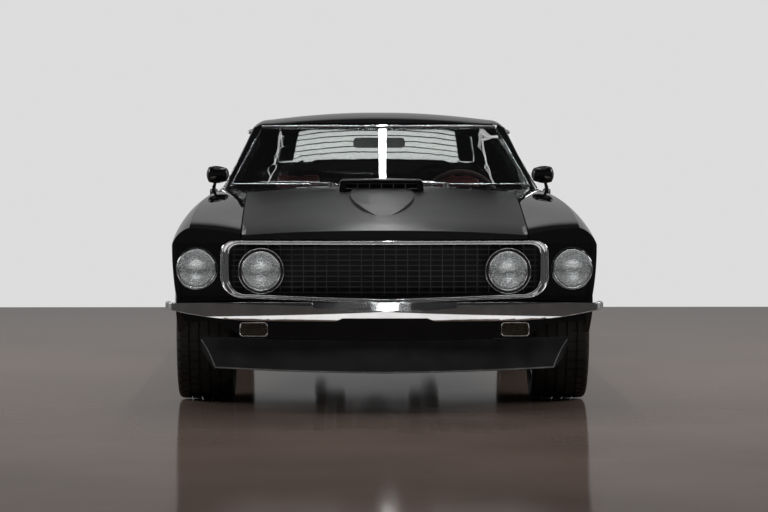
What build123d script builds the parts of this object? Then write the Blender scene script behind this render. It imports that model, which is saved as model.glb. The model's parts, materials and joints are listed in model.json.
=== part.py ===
"""Fastback muscle car of the late 1960s: a two-door with four round lamps, a scooped hood and a chin spoiler.

Millimetres. The nose points along -Y, +X is the driver's side and +Z is up. The origin is on the ground,
midway along the car. Panels are cut from two lofted masters, the lower body and the glasshouse.
"""

import os
from math import atan2, cos, degrees, radians, sin, sqrt

from build123d import *

os.makedirs("parts", exist_ok=True)

# Overall proportions
overall_length = 4760
wheelbase = 2743
front_overhang = 945
nose = -overall_length / 2
tail = overall_length / 2
front_axle = nose + front_overhang
rear_axle = front_axle + wheelbase
far = 3000

# Wheels and running gear
track_half = 775
tyre_radius = 327
tyre_width = 245
rim_radius = 229
rim_width = 222
kingpin_inset = 90
spindle_radius = 20
running_clearance = 0.05
seat_gap = 0.3
spoke_count = 5
arch_radius = 365
arch_rise = 13

# Panels
skin = 20
door_thickness = 70
door_inner_top = 694
hinge_inset = 14
door_hinge = (890, -822)
door_hinge_levels = (575, 705)
hood_hinge = (300, -908, 912)
trunk_hinge = (150, 1552, 1006)
hinge_pin = 3.5
hinge_fit = 0.05
quarter_thickness = 70
roof_thickness = 35
shut_line = 5
door_front = -868
door_rear = 318
door_sill = 297
sill_top = 291
hood_rear = -892
cowl_front = -876
seam_front = 598
seam_rear = 616
lower_edge = 200
nose_edge = 330
valance_top = 432
glass_thickness = 5
glass_inset = 10
glass_slot = 870
trunk_front = 1492
trunk_rear = 2236
trunk_half = 612
backlight_front = 655
backlight_rear = 1432
backlight_half_front = 478
backlight_half_rear = 530
nose_line = nose + 68
nose_sweep = 4765
bumper_sweep = 3900

# Lower body stations. Each row: y, then x and z of the hood seam, the crown, the haunch, the crease,
# the waist and the sill, and the height of the centre line.
body_rows = [
    (-2330, 598, 738, 822, 758, 866, 735, 886, 702, 862, 500, 835, 300, 765),
    (-2000, 602, 795, 815, 818, 862, 780, 896, 722, 888, 500, 850, 250, 823),
    (-1435, 608, 862, 800, 873, 857, 822, 903, 735, 897, 490, 850, 205, 888),
    (-880, 616, 905, 768, 903, 842, 845, 901, 738, 890, 470, 838, 200, 932),
    (-250, 690, 915, 752, 908, 836, 845, 900, 735, 886, 470, 838, 200, 932),
    (330, 690, 918, 752, 911, 836, 845, 900, 728, 886, 470, 838, 200, 932),
    (800, 690, 922, 758, 915, 842, 848, 903, 728, 893, 480, 840, 205, 930),
    (1308, 680, 925, 765, 922, 850, 858, 906, 745, 900, 490, 845, 230, 930),
    (1800, 670, 925, 757, 920, 838, 865, 893, 765, 880, 500, 835, 300, 930),
    (2330, 650, 918, 735, 908, 805, 865, 855, 775, 845, 520, 815, 380, 925),
]

# Glasshouse stations. Each row: y, then x and z of the belt, the bow of the side, the lower and the
# upper edge of the roof rail, and the height of the crown.
roof_rows = [
    (-260, 735, 895, 680, 1050, 604, 1172, 545, 1203, 1216),
    (150, 742, 895, 692, 1060, 618, 1192, 535, 1243, 1278),
    (650, 748, 895, 697, 1045, 622, 1150, 540, 1203, 1243),
    (1050, 752, 895, 712, 1000, 640, 1075, 560, 1118, 1150),
    (1450, 752, 895, 725, 945, 668, 985, 590, 1012, 1040),
    (1800, 745, 890, 722, 925, 690, 947, 640, 960, 976),
    (2330, 725, 885, 710, 913, 690, 930, 650, 940, 946),
]


def cuboid(x, y, z):
    """A box from its low and high limits along each axis."""
    size = [high - low for low, high in (x, y, z)]
    middle = [(high + low) / 2 for low, high in (x, y, z)]
    return Pos(*middle) * Box(*size)


def placed(axis, level, point):
    """A point of a plane outline, set at a level along the axis that the plane faces."""
    a, b = point
    return {"x": (level, a, b), "y": (a, level, b), "z": (a, b, level)}[axis]


def outline(axis, level, path):
    """A closed wire. A step of the path is a point, or a pair of points that an arc runs through."""
    start = path[0]
    edges = []
    here = start
    for step in [*path[1:], start]:
        if isinstance(step[0], tuple):
            middle, end = step
            edges.append(Edge.make_three_point_arc(*[placed(axis, level, p) for p in (here, middle, end)]))
        else:
            end = step
            if end == here:
                continue
            edges.append(Edge.make_line(placed(axis, level, here), placed(axis, level, end)))
        here = end
    return Wire(edges)


def prism(axis, path, low, high):
    """A plane outline drawn out along an axis."""
    face = Face(outline(axis, low, path))
    return Solid.extrude(face, Vector(*placed(axis, high - low, (0, 0))))


def rod(start, end, radius, inner=0):
    """A round bar or tube between two points."""
    a, b = Vector(*start), Vector(*end)
    plane = Plane(origin=a, z_dir=b - a)
    bar = Solid.make_cylinder(radius, (b - a).length, plane)
    return bar - Solid.make_cylinder(inner, (b - a).length, plane) if inner else bar


def turned(path, centre=(0, 0, 0)):
    """A solid turned about a line along X. The path's points are x and radius."""
    face = Face(outline("y", 0, path))
    return Pos(*centre) * Solid.revolve(face, 360, Axis.X)


def both(shape):
    """A piece and its mirror image on the other side."""
    return shape + mirror(shape, about=Plane.YZ)


def pair(shape):
    """The solids of a piece and of its mirror image."""
    return [*shape.solids(), *mirror(shape, about=Plane.YZ).solids()]


def save(node, *shapes):
    """Writes the solids of one node."""
    solids = [solid for shape in shapes for solid in shape.solids()]
    export_step(solids[0] if len(solids) == 1 else Compound(solids), f"parts/{node}.step")


def save_sides(node, shape):
    """Writes a piece of the driver's side and its mirror image on the other side."""
    save(f"{node}_left", shape)
    save(f"{node}_right", mirror(shape, about=Plane.YZ))


def body_section(row, inset):
    """Half of one section of the lower body, taken in by the inset."""
    y, xs, zs, xc, zc, xh, zh, xr, zr, xw, zw, xi, zi, top = row
    seam = (xs, zs - inset)
    crown = (xc - 0.45 * inset, zc - 0.9 * inset)
    haunch = (xh - 0.75 * inset, zh - 0.66 * inset)
    crease = (xr - inset, zr)
    waist = (xw - inset, zw)
    sill = (xi - inset, zi)
    centre = (0, top - inset)
    base = 100
    flank_bow, sill_bow, crown_bow, hood_share = 5, 12, 6, 0.25
    return outline(
        "y",
        y,
        [
            (0, base),
            (xi - inset, base),
            sill,
            (((sill[0] + waist[0]) / 2 + sill_bow, (sill[1] + waist[1]) / 2), waist),
            (((waist[0] + crease[0]) / 2 + flank_bow, (waist[1] + crease[1]) / 2), crease),
            (haunch, crown),
            (((crown[0] + seam[0]) / 2, (crown[1] + seam[1]) / 2 + crown_bow), seam),
            ((seam[0] / 2, centre[1] - hood_share * (centre[1] - seam[1])), centre),
        ],
    )


def roof_section(row, inset):
    """Half of one section of the glasshouse, taken in by the inset."""
    y, xb, zb, xm, zm, xl, zl, xu, zu, crown = row
    belt = (xb - inset, zb)
    bow = (xm - 0.95 * inset, zm - 0.3 * inset)
    rail_low = (xl - 0.85 * inset, zl - 0.45 * inset)
    rail_top = (xu - 0.25 * inset, zu - 0.97 * inset)
    rail_mid = (
        (rail_low[0] + rail_top[0]) / 2 + 0.12 * (xl - xu),
        (rail_low[1] + rail_top[1]) / 2 + 0.18 * (zu - zl),
    )
    centre = (0, crown - inset)
    crown_share = 0.22
    base = 860
    return outline(
        "y",
        y,
        [
            (0, base),
            (xb - inset, base),
            belt,
            (bow, rail_low),
            (rail_mid, rail_top),
            ((rail_top[0] / 2, centre[1] - crown_share * (centre[1] - rail_top[1])), centre),
        ],
    )


masters = {}


def lower_body(inset=0):
    """The driver's half of the lower body as a filled form."""
    if ("body", inset) not in masters:
        masters["body", inset] = Solid.make_loft([body_section(row, inset) for row in body_rows])
    return masters["body", inset]


def glasshouse(inset=0):
    """The driver's half of the glasshouse as a filled form."""
    if ("roof", inset) not in masters:
        masters["roof", inset] = Solid.make_loft([roof_section(row, inset) for row in roof_rows])
    return masters["roof", inset]


def swept_front(line, sweep=nose_sweep):
    """Everything behind a gently curved front, drawn as an arc in plan."""
    half = 1000
    back = sweep - sqrt(sweep**2 - half**2)
    return prism("z", [(-half, line + back), ((0, line), (half, line + back)), (half, far), (-half, far)], 0, 1500)


def front_depth(x, line, sweep=nose_sweep):
    """Where a swept front lies along Y at one distance from the centre."""
    return line + sweep - sqrt(sweep**2 - x**2)


# Front end openings
grille_half = 686
grille_top = 729
grille_side_bottom = 486
grille_centre_bottom = 466
surround_side = 36
surround_bar = 18
lamp_radius = 82
outer_lamp = (788, 609)
inner_lamp = (516, 600)


def grille_outline(grow=0, side=0, bar=0):
    """The grille's opening seen from the front: round corners, and a lower edge that dips at the centre."""
    half = grille_half + grow - side
    top = grille_top + grow - bar
    low = grille_side_bottom - grow + bar
    dip = grille_centre_bottom - grow + bar
    upper, lower = 50 + grow, 90 + grow - side / 2
    k = 1 - cos(radians(45))
    right = [
        (half - lower, low),
        ((half - lower * k, low + lower * k), (half, low + lower)),
        (half, top - upper),
        ((half - upper * k, top - upper * k), (half - upper, top)),
    ]
    left = [
        (upper - half, top),
        ((upper * k - half, top - upper * k), (-half, top - upper)),
        (-half, low + lower),
        ((lower * k - half, low + lower * k), (lower - half, low)),
    ]
    return [(0, dip), *right, *left]


def nose_lip(x_low, x_high, depth, bottom):
    """The rolled front edge of the hood or fender."""
    band = swept_front(nose_line) - swept_front(nose_line + depth)
    return lower_body() & band & cuboid((x_low, x_high), (nose, -2000), (bottom, 800))


def seam_wall(offset, outer):
    """The space on one side of the hood seam."""
    front_y, rear_y = -2400, hood_rear
    near = [(seam_front + offset, front_y), (seam_rear + offset, rear_y), (seam_rear + offset, -600)]
    edge = 1000 if outer else 0
    return prism("z", [*near, (edge, -600), (edge, front_y)], 0, 1500)


def front_fenders():
    """Front fenders with their headlamp plates, rolled front edges and wheel arches."""
    plate_front, plate_depth = -2206, 20
    region = cuboid((500, 1000), (nose, door_front - shut_line - 4), (lower_edge, 1000))
    shell = (lower_body() - lower_body(skin)) & region & seam_wall(shut_line / 2, True)
    shell = shell & swept_front(nose_line)
    lip = nose_lip(seam_front, 900, 26, grille_top - 12) & seam_wall(shut_line / 2, True)
    plate = lower_body(2) & cuboid((600, 900), (plate_front, plate_front + plate_depth), (valance_top, 800))
    fender = shell + lip + (plate & seam_wall(shut_line / 2, True))
    fender -= prism("y", grille_outline(seat_gap), -2400, -2150)
    fender -= rod((outer_lamp[0], -2300, outer_lamp[1]), (outer_lamp[0], -2100, outer_lamp[1]), lamp_radius + 4)
    fender -= cuboid((500, 1000), (nose, front_axle - 200), (0, nose_edge))
    fender -= rod((500, front_axle, tyre_radius + arch_rise), (1000, front_axle, tyre_radius + arch_rise), arch_radius)
    lean = [(-2400, 716), (-2212, valance_top), (-2180, valance_top), (-2020, nose_edge), (-2020, 0), (-2500, 0), (-2500, 716)]
    fender -= prism("x", lean, 500, 1000)
    save_sides("fender", fender)


def hood():
    """Hood with its rolled front edge and the long ridged rise that leads to the scoop."""
    region = cuboid((0, 700), (nose, hood_rear), (600, 1000))
    panel = (lower_body() - lower_body(skin + 2)) & region & seam_wall(-shut_line / 2, False)
    panel = panel & swept_front(nose_line) - cuboid((0, 700), (nose, -2200), (600, grille_top + shut_line))
    lip = nose_lip(0, seam_front, 30, grille_top + shut_line) & seam_wall(-shut_line / 2, False)
    rise_half, rise_height, rise_tip, rise_back = 125, 14, -2060, -1160
    rise_plan = [(0, rise_tip), ((rise_half * 0.72, -1800), (rise_half, rise_back)), (0, rise_back)]
    rise = prism("z", rise_plan, 700, 1000) & lower_body(-rise_height)
    ramp = [(rise_tip, 1000), (rise_tip, 812), (-1700, 872), (-1500, 910), (-1500, 1000)]
    rise = rise - prism("x", ramp, -1, 400)
    hx, hy, hz = hood_hinge
    pocket = cuboid((hx - 10, hx + 10), (hy - 11, hood_rear + 1), (850, hz + 8.3))
    pin = rod((hx - 12, hy, hz), (hx + 12, hy, hz), hinge_pin)
    save("hood", both(panel + lip + (rise - lower_body(skin)) - pocket + pin))


def hood_scoop():
    """Scoop that stands on the hood, with an egg-crate mouth that faces forward."""
    mouth_front, back = -1160, -908
    half, top, cheek, roof = 196, 968, 34, 10
    sections = [(mouth_front, half, top - 6), (-1060, half - 4, top), (back, half - 46, top - 24)]
    form = Solid.make_loft(
        [outline("y", y, [(0, 850), (w, 850), (w - 8, z - 14), ((w - 12, z - 4), (w - 24, z)), (0, z + 4)]) for y, w, z in sections]
    )
    cavity = cuboid((0, half - cheek), (mouth_front - 10, -1010), (850, top - 6 - roof))
    shell = both((form - cavity) - lower_body(-seat_gap))
    bars = []
    bar, depth, rows, columns = 4, 16, 2, 6
    inside = half - cheek
    low, high = 900, top - 6 - roof
    for i in range(1, columns):
        x = -inside + 2 * inside * i / columns
        bars.append(cuboid((x - bar / 2, x + bar / 2), (mouth_front + 8, mouth_front + 8 + depth), (low, high + 2)))
    for i in range(1, rows + 1):
        z = low + 14 + (high - low - 10) * (i - 0.4) / rows
        bars.append(cuboid((-inside - 2, inside + 2), (mouth_front + 8, mouth_front + 8 + depth), (z - bar / 2, z + bar / 2)))
    grid = bars[0].fuse(*bars[1:]) - both(lower_body(-seat_gap))
    save("hood_scoop", shell + grid)


def hinge_eye(axis, pivot, level, radius, half, arm):
    """A hinge's eye with the arm that carries it. The arm's outline is drawn from the pivot."""
    a, b = pivot
    ends = [placed(axis, level + side * half, pivot) for side in (-1, 1)]
    eye = rod(*ends, radius) + prism(axis, [(a + p[0], b + p[1]) for p in arm], level - half, level + half)
    return eye - rod(*ends, hinge_pin + hinge_fit)


def cowl():
    """Cowl top, bulkhead and the pillars that the doors hang on."""
    plan = [(0, cowl_front), (731, cowl_front), (731, -780), (742, -740), (742, -612), (690, -612), ((400, -755), (0, -795))]
    top_panel = (lower_body() - lower_body(skin)) & prism("z", plan, 700, 1000)
    bulkhead = lower_body(skin) & cuboid((0, 640), (cowl_front, cowl_front + 20), (205, 1000))
    bulkhead = bulkhead - prism("y", tunnel_outline, -1000, -700) - cuboid((rail_inner - 0.3, rail_outer + 0.3), (-1000, -700), (160, 415.3))
    pillar = lower_body(door_thickness + hinge_inset) & cuboid((600, 900), (cowl_front, -790), (sill_top, 1000))
    vent = []
    for i in range(9):
        x = 130 + 46 * i
        vent.append(cuboid((x, x + 26), (-868, -842), (880, 1000)))
    cowl_half = (top_panel + bulkhead + pillar) - vent[0].fuse(*vent[1:])
    for level in door_hinge_levels:
        cowl_half += hinge_eye("z", door_hinge, level, 5.5, 8, [(0, -4.5), (0, 4.5), (-80, 8), (-80, -8)])
    hx, hy, hz = hood_hinge
    cowl_half += hinge_eye("x", (hy, hz), hx, 8, 6, [(-6, -4), (5, 3), (18, -17), (40, -24), (40, -36), (6, -26)])
    save("cowl", both(cowl_half))


# Windscreen edges in plan, at its foot and its head: depth at the centre, half width, depth at the side
screen_foot = (-842, 708, -700, 900)
screen_head = (-226, 562, -176, 1207)


def screen_arc(edge, outset=0):
    """One horizontal section of the windscreen, as an arc and the same arc set back."""
    centre, half, side, level = edge
    return [
        (-half, side + outset),
        ((0, centre + outset), (half, side + outset)),
        (half, side + outset + glass_thickness),
        ((0, centre + outset + glass_thickness), (-half, side + outset + glass_thickness)),
    ]


def windshield():
    """Curved windscreen, standing on the cowl."""
    pane = Solid.make_loft([outline("z", e[3], screen_arc(e)) for e in (screen_foot, screen_head)])
    return pane - both(lower_body(-seat_gap))


def a_pillar():
    """Windscreen pillar, from the cowl to the front corner of the roof."""
    foot = [(713, -716), (738, -700), (738, -662), (713, -662)]
    head = [(566, -196), (600, -186), (606, -160), (566, -160)]
    return Solid.make_loft([outline("z", 890, foot), outline("z", 1207, head)])


def roof_side(rise):
    """Line of the roof's lower edge seen from the side, from the windscreen back to the rear window."""
    return [(-300, 1160 + rise), ((150, 1190 + rise), (700, 1138 + rise))]


def roof():
    """Roof panel with its drip edges, the windscreen pillars and the header above the rear window."""
    shell = glasshouse() - glasshouse(roof_thickness)
    side = roof_side(0)
    keep = prism("x", [*side, (700, 1400), (-300, 1400)], 0, 800)
    head_y, head_half, head_side = screen_head[0], screen_head[1], screen_head[2]
    gap = glass_thickness + 2
    front = [(0, head_y + gap), ((head_half / 2, head_y + gap + (head_side - head_y) * 0.26), (head_half, head_side + gap)), (700, head_side + 30)]
    plan = prism("z", [*front, (700, backlight_front - seat_gap), (0, backlight_front - seat_gap)], 900, 1400)
    head = shell & keep & plan
    pillar = a_pillar() - lower_body(-seat_gap)
    screen = Solid.make_loft(
        [outline("z", e[3] + lift, [(-e[1] - 3, e[2] - 4), ((0, e[0] - 4), (e[1] + 3, e[2] - 4)), (e[1] + 3, e[2] + gap), ((0, e[0] + gap), (-e[1] - 3, e[2] + gap))]) for e, lift in ((screen_foot, 0), (screen_head, 2))]
    )
    drip = prism("x", [*side, (700, 1147), ((150, 1199), (-300, 1169))], 560, 700)
    gutter = drip & (glasshouse(-9) - glasshouse(roof_thickness / 2)) & cuboid((0, 800), (-186, 640), (1000, 1300))
    save("roof", both((head + gutter + pillar) - screen))


def backlight_plan(grow=0):
    """Half of the rear window's opening seen from above."""
    front, rear = backlight_front - grow, backlight_rear + grow
    wide_front, wide_rear = backlight_half_front + grow, backlight_half_rear + grow
    corner = 60
    k = corner * 0.3
    return [
        (0, front),
        (wide_front - corner, front),
        ((wide_front - k, front + k), (wide_front + 4, front + corner)),
        (wide_rear - 4, rear - corner),
        ((wide_rear - k, rear - k), (wide_rear - corner, rear)),
        (0, rear),
    ]


def quarter_window(grow=0):
    """Quarter window seen from the side."""
    return [(345 - grow, glass_slot - grow), (345 - grow, 1300), (560 + grow, 1300), (600 + grow, 1150 + grow), (770 + 2 * grow, 905), (770 + grow, glass_slot - grow)]


def quarters():
    """Rear quarters: flank, hip, sail panel and wheel arch in one, with the raised air intake ahead of the wheel."""
    flank = (lower_body() - lower_body(quarter_thickness)) & cuboid((0, 1000), (door_rear + shut_line + 3, 2262), (lower_edge, 1000))
    flank = flank & cuboid((560, 1000), (0, 2300), (lower_edge, 1000))
    sail = (glasshouse() - glasshouse(roof_thickness + 10)) & cuboid((0, 1000), (door_rear + shut_line + 3, 2262), (880, 1400))
    above_glass = [(300, 800), (300, 1400), (561, 1400), (770, 912), (770, 800)]
    sail = sail - prism("x", above_glass, 0, 1000)
    deck = [*backlight_plan(seat_gap)[:-1], (0, backlight_rear + seat_gap)]
    sail = sail - prism("z", deck, 800, 1400)
    sail = sail - cuboid((0, 800), (0, backlight_front), (1000, 1400)).intersect(prism("x", [*roof_side(-1), (700, 1400), (-300, 1400)], 0, 800))
    sail = sail - cuboid((0, trunk_half + shut_line), (backlight_rear - 1, 2400), (800, 1400))
    flank = flank - cuboid((0, trunk_half + shut_line), (1000, 2400), (780, 1400))
    slot = (glasshouse(glass_inset - 3) - glasshouse(glass_inset + glass_thickness + 3)) & prism("x", quarter_window(3), 0, 1000)
    quarter = (flank + sail) - (slot & cuboid((0, 1000), (300, 800), (glass_slot, 1400)))
    quarter -= cuboid((500, 1000), (0, 945), (0, door_sill))
    quarter -= rod((500, rear_axle, tyre_radius + arch_rise), (1000, rear_axle, tyre_radius + arch_rise), arch_radius)
    quarter -= cuboid((500, 1000), (rear_axle, 2400), (0, 330))
    jamb = [(690, 300), (1000, 300), (1000, door_rear + shut_line + 4), (900, door_rear + shut_line + 4), (690, door_rear - 4)]
    quarter -= prism("z", jamb, 200, 1000) & cuboid((600, 1000), (300, 340), (200, 1000))
    intake = Solid.make_loft(
        [
            outline("y", 880, [(800, 790), (886, 790), ((885, 830), (862, 862)), (800, 862)]),
            outline("y", 1090, [(800, 800), (866, 800), ((862, 830), (846, 852)), (800, 852)]),
        ]
    )
    mouth = cuboid((840, 876), (870, 905), (802, 850))
    quarter = quarter + (intake - mouth - lower_body(quarter_thickness / 2))
    save_sides("quarter", quarter)


def doors():
    """Doors as thick as skin and trim together, with a slot for the frameless glass and a pull handle."""
    region = cuboid((door_inner_top, 1000), (door_front, door_rear), (door_sill, 1000))
    door = (lower_body() - lower_body(door_thickness)) & region
    jamb = [(600, 400), (600, door_rear - 42), (690, door_rear - 26), (900, door_rear), (1000, door_rear), (1000, 400)]
    door -= prism("z", [(700, -900), (904, door_front), (830, door_front + 24), (700, door_front + 30)], 200, 800)
    door -= prism("z", jamb, 200, 1000)
    door -= (glasshouse(glass_inset - 3) - glasshouse(glass_inset + glass_thickness + 3)) & cuboid((500, 1000), (-900, 400), (glass_slot, 1000))
    door -= cuboid((600, 748), (-900, -606), (800, 1000))
    hx, hy = door_hinge
    for level in door_hinge_levels:
        door -= cuboid((700, hx + 6), (-900, hy + 9), (level - 12, level + 12))
        door += rod((hx, hy, level - 14), (hx, hy, level + 14), hinge_pin)
    handle = cuboid((876, 912), (150, 262), (778, 792)) - cuboid((800, 906), (166, 246), (700, 900))
    handle = handle - lower_body(3)
    save_sides("door", door + handle)


def side_glass(path):
    """A pane cut from the curved side of the glasshouse by its side view."""
    return (glasshouse(glass_inset) - glasshouse(glass_inset + glass_thickness)) & prism("x", path, 0, 1000)


def door_glass():
    """Frameless door glass, standing in the door's slot."""
    front_edge = [(-600, glass_slot + seat_gap), (-600, 912), (-176, 1168)]
    save_sides("door_glass", side_glass([*front_edge, ((150, 1183), (door_rear - 2, 1179)), (door_rear - 2, glass_slot + seat_gap)]))


def fixed_glass():
    """Windscreen, quarter windows and the long rear window, one node for the panes that never move."""
    quarter_pane = side_glass([(p[0], min(p[1] + seat_gap, 1300)) for p in quarter_window()])
    quarter_pane = quarter_pane - prism("x", [*roof_side(-1.5), (700, 1400), (-300, 1400)], 0, 800)
    rear_pane = (glasshouse(6) - glasshouse(6 + glass_thickness)) & prism("z", backlight_plan(0), 800, 1400)
    save("fixed_glass", windshield(), *pair(quarter_pane), both(rear_pane))


def louvres():
    """Slatted blind over the rear window, on two side rails."""
    first, pitch, count = 700, 104, 7
    chord, slat, stand, wall, flange = 98, 5, 6, 12, 62
    front_half, rear_half = backlight_half_front - 12, backlight_half_rear - 12
    rail_plan = [(front_half - wall, first + 22), (front_half, first + 22), (rear_half, backlight_rear - 50), (rear_half - wall, backlight_rear - 50)]
    rail = (glasshouse(-44) - glasshouse(6 - seat_gap)) & prism("z", rail_plan, 900, 1400)
    flange_plan = [(x - flange if i in (0, 3) else x, y) for i, (x, y) in enumerate(rail_plan)]
    form = rail + ((glasshouse(0) - glasshouse(6 - seat_gap)) & prism("z", flange_plan, 900, 1400))
    for i in range(count):
        front = first + pitch * i
        share = (front - backlight_front) / (backlight_rear - backlight_front)
        half = front_half + (rear_half - front_half) * share
        drop = glasshouse(-stand - 34) & cuboid((0, half), (front, front + chord), (900, 1400))
        level = (glasshouse() & cuboid((0, 1), (front, front + 1), (900, 1400))).bounding_box().max.Z
        crown = [(0, level + stand), ((half * 0.6, level + stand - 12), (half, level + stand - 42)), (half, level + stand - 42 + slat), ((half * 0.6, level + stand - 12 + slat), (0, level + stand + slat))]
        form = form + ((prism("y", crown, front, front + chord) & drop) - glasshouse(-2))
    save("louvres", both(form))


def trunk_lid():
    """Trunk lid, cut from the deck that ends in an upturned tail."""
    plan = [(0, trunk_front), (trunk_half, trunk_front), (trunk_half, trunk_rear), (0, trunk_rear)]
    panel = (glasshouse() - glasshouse(skin + 2)) & prism("z", plan, 800, 1400)
    hx, hy, hz = trunk_hinge
    pocket = cuboid((hx - 11, hx + 11), (hy - 30, hy + 9), (850, hz + 6.5))
    pin = rod((hx - 13, hy, hz), (hx + 13, hy, hz), hinge_pin)
    save("trunk_lid", both(panel - pocket + pin))


def parcel_shelf():
    """Shelf behind the rear seat, with the painted strip between the rear window and the trunk lid."""
    edge = trunk_half + shut_line - seat_gap
    strip = (glasshouse() - glasshouse(30)) & cuboid((0, edge), (backlight_rear + seat_gap, trunk_front - 8), (800, 1400))
    shelf = cuboid((0, edge), (1002, backlight_rear + 20), (850, 862))
    riser = cuboid((0, edge), (backlight_rear + seat_gap, backlight_rear + 20), (850, 1200)) & glasshouse(10)
    hx, hy, hz = trunk_hinge
    foot = backlight_rear + 18 - hy
    arm = hinge_eye("x", (hy, hz), hx, 6, 5, [(-5, 0), (5, 0), (5, -90), (foot, -90), (foot, -76), (-5, -76)])
    save("parcel_shelf", both(strip + shelf + riser + arm))


tail_face = 2292
lamp_columns = (500, 585, 670)


def tail_panel():
    """Tail panel under the spoiler lip, with lamp wells, a round filler cap and the rear valance."""
    panel = (lower_body() + glasshouse()) & cuboid((0, 1000), (trunk_rear + 6, tail_face), (330, 1400))
    panel -= (lower_body() + glasshouse()) & cuboid((trunk_half + shut_line, 1000), (0, 2263), (330, 1400))
    panel -= cuboid((0, 1000), (trunk_rear, 2262), (330, 790))
    panel -= cuboid((0, 1000), (trunk_rear, 2262), (789, 900)) & glasshouse(24)
    recess = cuboid((0, 740), (tail_face - 10, tail_face + 10), (590, 800))
    panel -= recess
    for x in lamp_columns:
        panel -= cuboid((x - 30, x + 30), (tail_face - 22, tail_face + 10), (615, 775))
    cap = rod((0, tail_face - 10, 695), (0, tail_face + 14, 695), 52) + rod((0, tail_face + 14, 695), (0, tail_face + 22, 695), 30)
    save("tail_panel", both(panel) + cap)


def tail_lamps():
    """Six upright tail lamps, three a side, each a lens with a raised middle rib."""
    lenses = []
    for x in lamp_columns:
        lens = cuboid((x - 29.5, x + 29.5), (tail_face - 21.7, tail_face - 2), (615.5, 774.5))
        lens += cuboid((x - 20, x + 20), (tail_face - 2, tail_face + 4), (630, 760))
        lenses += pair(lens)
    save("tail_lamps", *lenses)


def front_bumper():
    """Slim chrome front bumper: a shallow V in plan, wrapped round the fenders, with a step for a plate."""
    tip, wrap, end = 2.0, 872, 918
    depth = 46
    edge_y = front_depth(wrap, nose, bumper_sweep)
    outer = [(0, nose), ((450, front_depth(450, nose + tip, bumper_sweep)), (wrap - 20, edge_y)), ((wrap + 24, edge_y + 26), (end, edge_y + 90)), (end, edge_y + 190)]
    inner = [(end - 14, edge_y + 190), (end - 14, edge_y + 96), ((wrap - 8, edge_y + 52), (wrap - 44, edge_y + 34)), ((440, front_depth(440, nose + depth, bumper_sweep)), (0, nose + depth))]
    band = prism("z", [*outer, *inner], 380, 500)
    face = [(0, 408), (176, 408), (206, 395), (480, 396), ((760, 414), (end + 1, 444)), (end + 1, 466), ((500, 474), (0, 470))]
    bar = band & prism("y", face, nose - 10, -1900)
    upper = [(nose - 20, 440), (nose + 4, 440), (nose + 34, 480), (nose - 20, 480)]
    chamfer = prism("x", upper, 0, 300)
    crown = Face(outline("x", 0, [(nose - 30, 390), (nose + 12, 390), ((nose, 440), (nose + 12, 490)), (nose - 30, 490)]))
    crown = Solid.revolve(crown, 360, Axis((0, nose + bumper_sweep, 0), (0, 0, 1)))
    bar = bar - chamfer - crown - (lower_body(-5) & swept_front(nose_line - 5))
    bracket = cuboid((392, 440), (front_depth(420, nose + depth - 6, bumper_sweep), front_depth(392, -2262, 3200) - seat_gap), (424, 452))
    save("front_bumper", both(bar + bracket))


def rear_bumper():
    """Slim chrome rear bumper, wrapped round the quarters."""
    wrap, end, depth = 850, 892, 44
    outer = [(0, tail), ((430, tail - 10), (wrap - 20, tail - 48)), ((wrap + 24, tail - 70), (end, tail - 124)), (end, tail - 300)]
    inner = [(end - 14, tail - 300), (end - 14, tail - 128), ((wrap - 10, tail - 96), (wrap - 44, tail - 84)), ((420, tail - depth - 12), (0, tail - depth))]
    band = prism("z", [*outer, *inner], 420, 560)
    face = [(0, 455), (180, 455), (205, 440), ((600, 446), (end + 1, 470)), (end + 1, 520), ((500, 532), (0, 532))]
    bar = band & prism("y", face, 1900, tail + 10)
    bar = bar - (lower_body(-6) & cuboid((0, 1000), (1900, tail_face + 6), (0, 1000)))
    bracket = cuboid((440, 480), (tail_face + seat_gap, tail - depth - 4), (470, 500))
    save("rear_bumper", both(bar + bracket))


lamp_bed = -2196


def front_valance():
    """Painted valance under the bumper, with wells for the two parking lamps."""
    band = swept_front(-2262, 3200) - swept_front(-2240, 3200)
    face = [(0, 308), (585, 318), (700, 384), (845, 384), (845, valance_top - 0.3), (600, valance_top - 0.3), (560, 462), (0, 455)]
    panel = band & prism("y", face, nose, -1900)
    panel -= prism("y", grille_outline(1), -2400, -2150)
    panel -= cuboid((489, 606), (-2400, -2100), (325, 383))
    back = cuboid((482, 613), (lamp_bed, lamp_bed + 10), (318, 390))
    sides = cuboid((482, 489), (-2222, lamp_bed + 4), (318, 390)) + cuboid((606, 613), (-2202, lamp_bed + 4), (318, 390))
    save("front_valance", both(panel + back + sides))


def parking_lamps():
    """Two oblong lamps in the valance."""
    lens = cuboid((490, 605), (lamp_bed - 24, lamp_bed - seat_gap), (326, 382))
    lens = fillet(lens.edges().filter_by(Axis.Y), 14)
    save("parking_lamps", *pair(lens))


def chin_spoiler():
    """Deep chin spoiler: a raked panel whose ends sweep up and back to the arches."""
    top, low = 400, 160
    sections = []
    for level, line in ((low, -2306), (top, -2232)):
        back = front_depth(900, line, 2900)
        sections.append(
            outline("z", level, [(-900, back), ((0, line), (900, back)), (900, back + 12), ((0, line + 12), (-900, back + 12))])
        )
    blade = Solid.make_loft(sections)
    face = [(0, 306), (585, 316), (702, 382), (786, 382), (776, 308), ((752, 240), (712, 190)), ((360, 180), (0, 174))]
    blade = blade & prism("y", face, nose, -1800)
    save("chin_spoiler", both(blade - swept_front(-2262, 3200).intersect(cuboid((0, 900), (nose, -1800), (318, 450)))))


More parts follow.
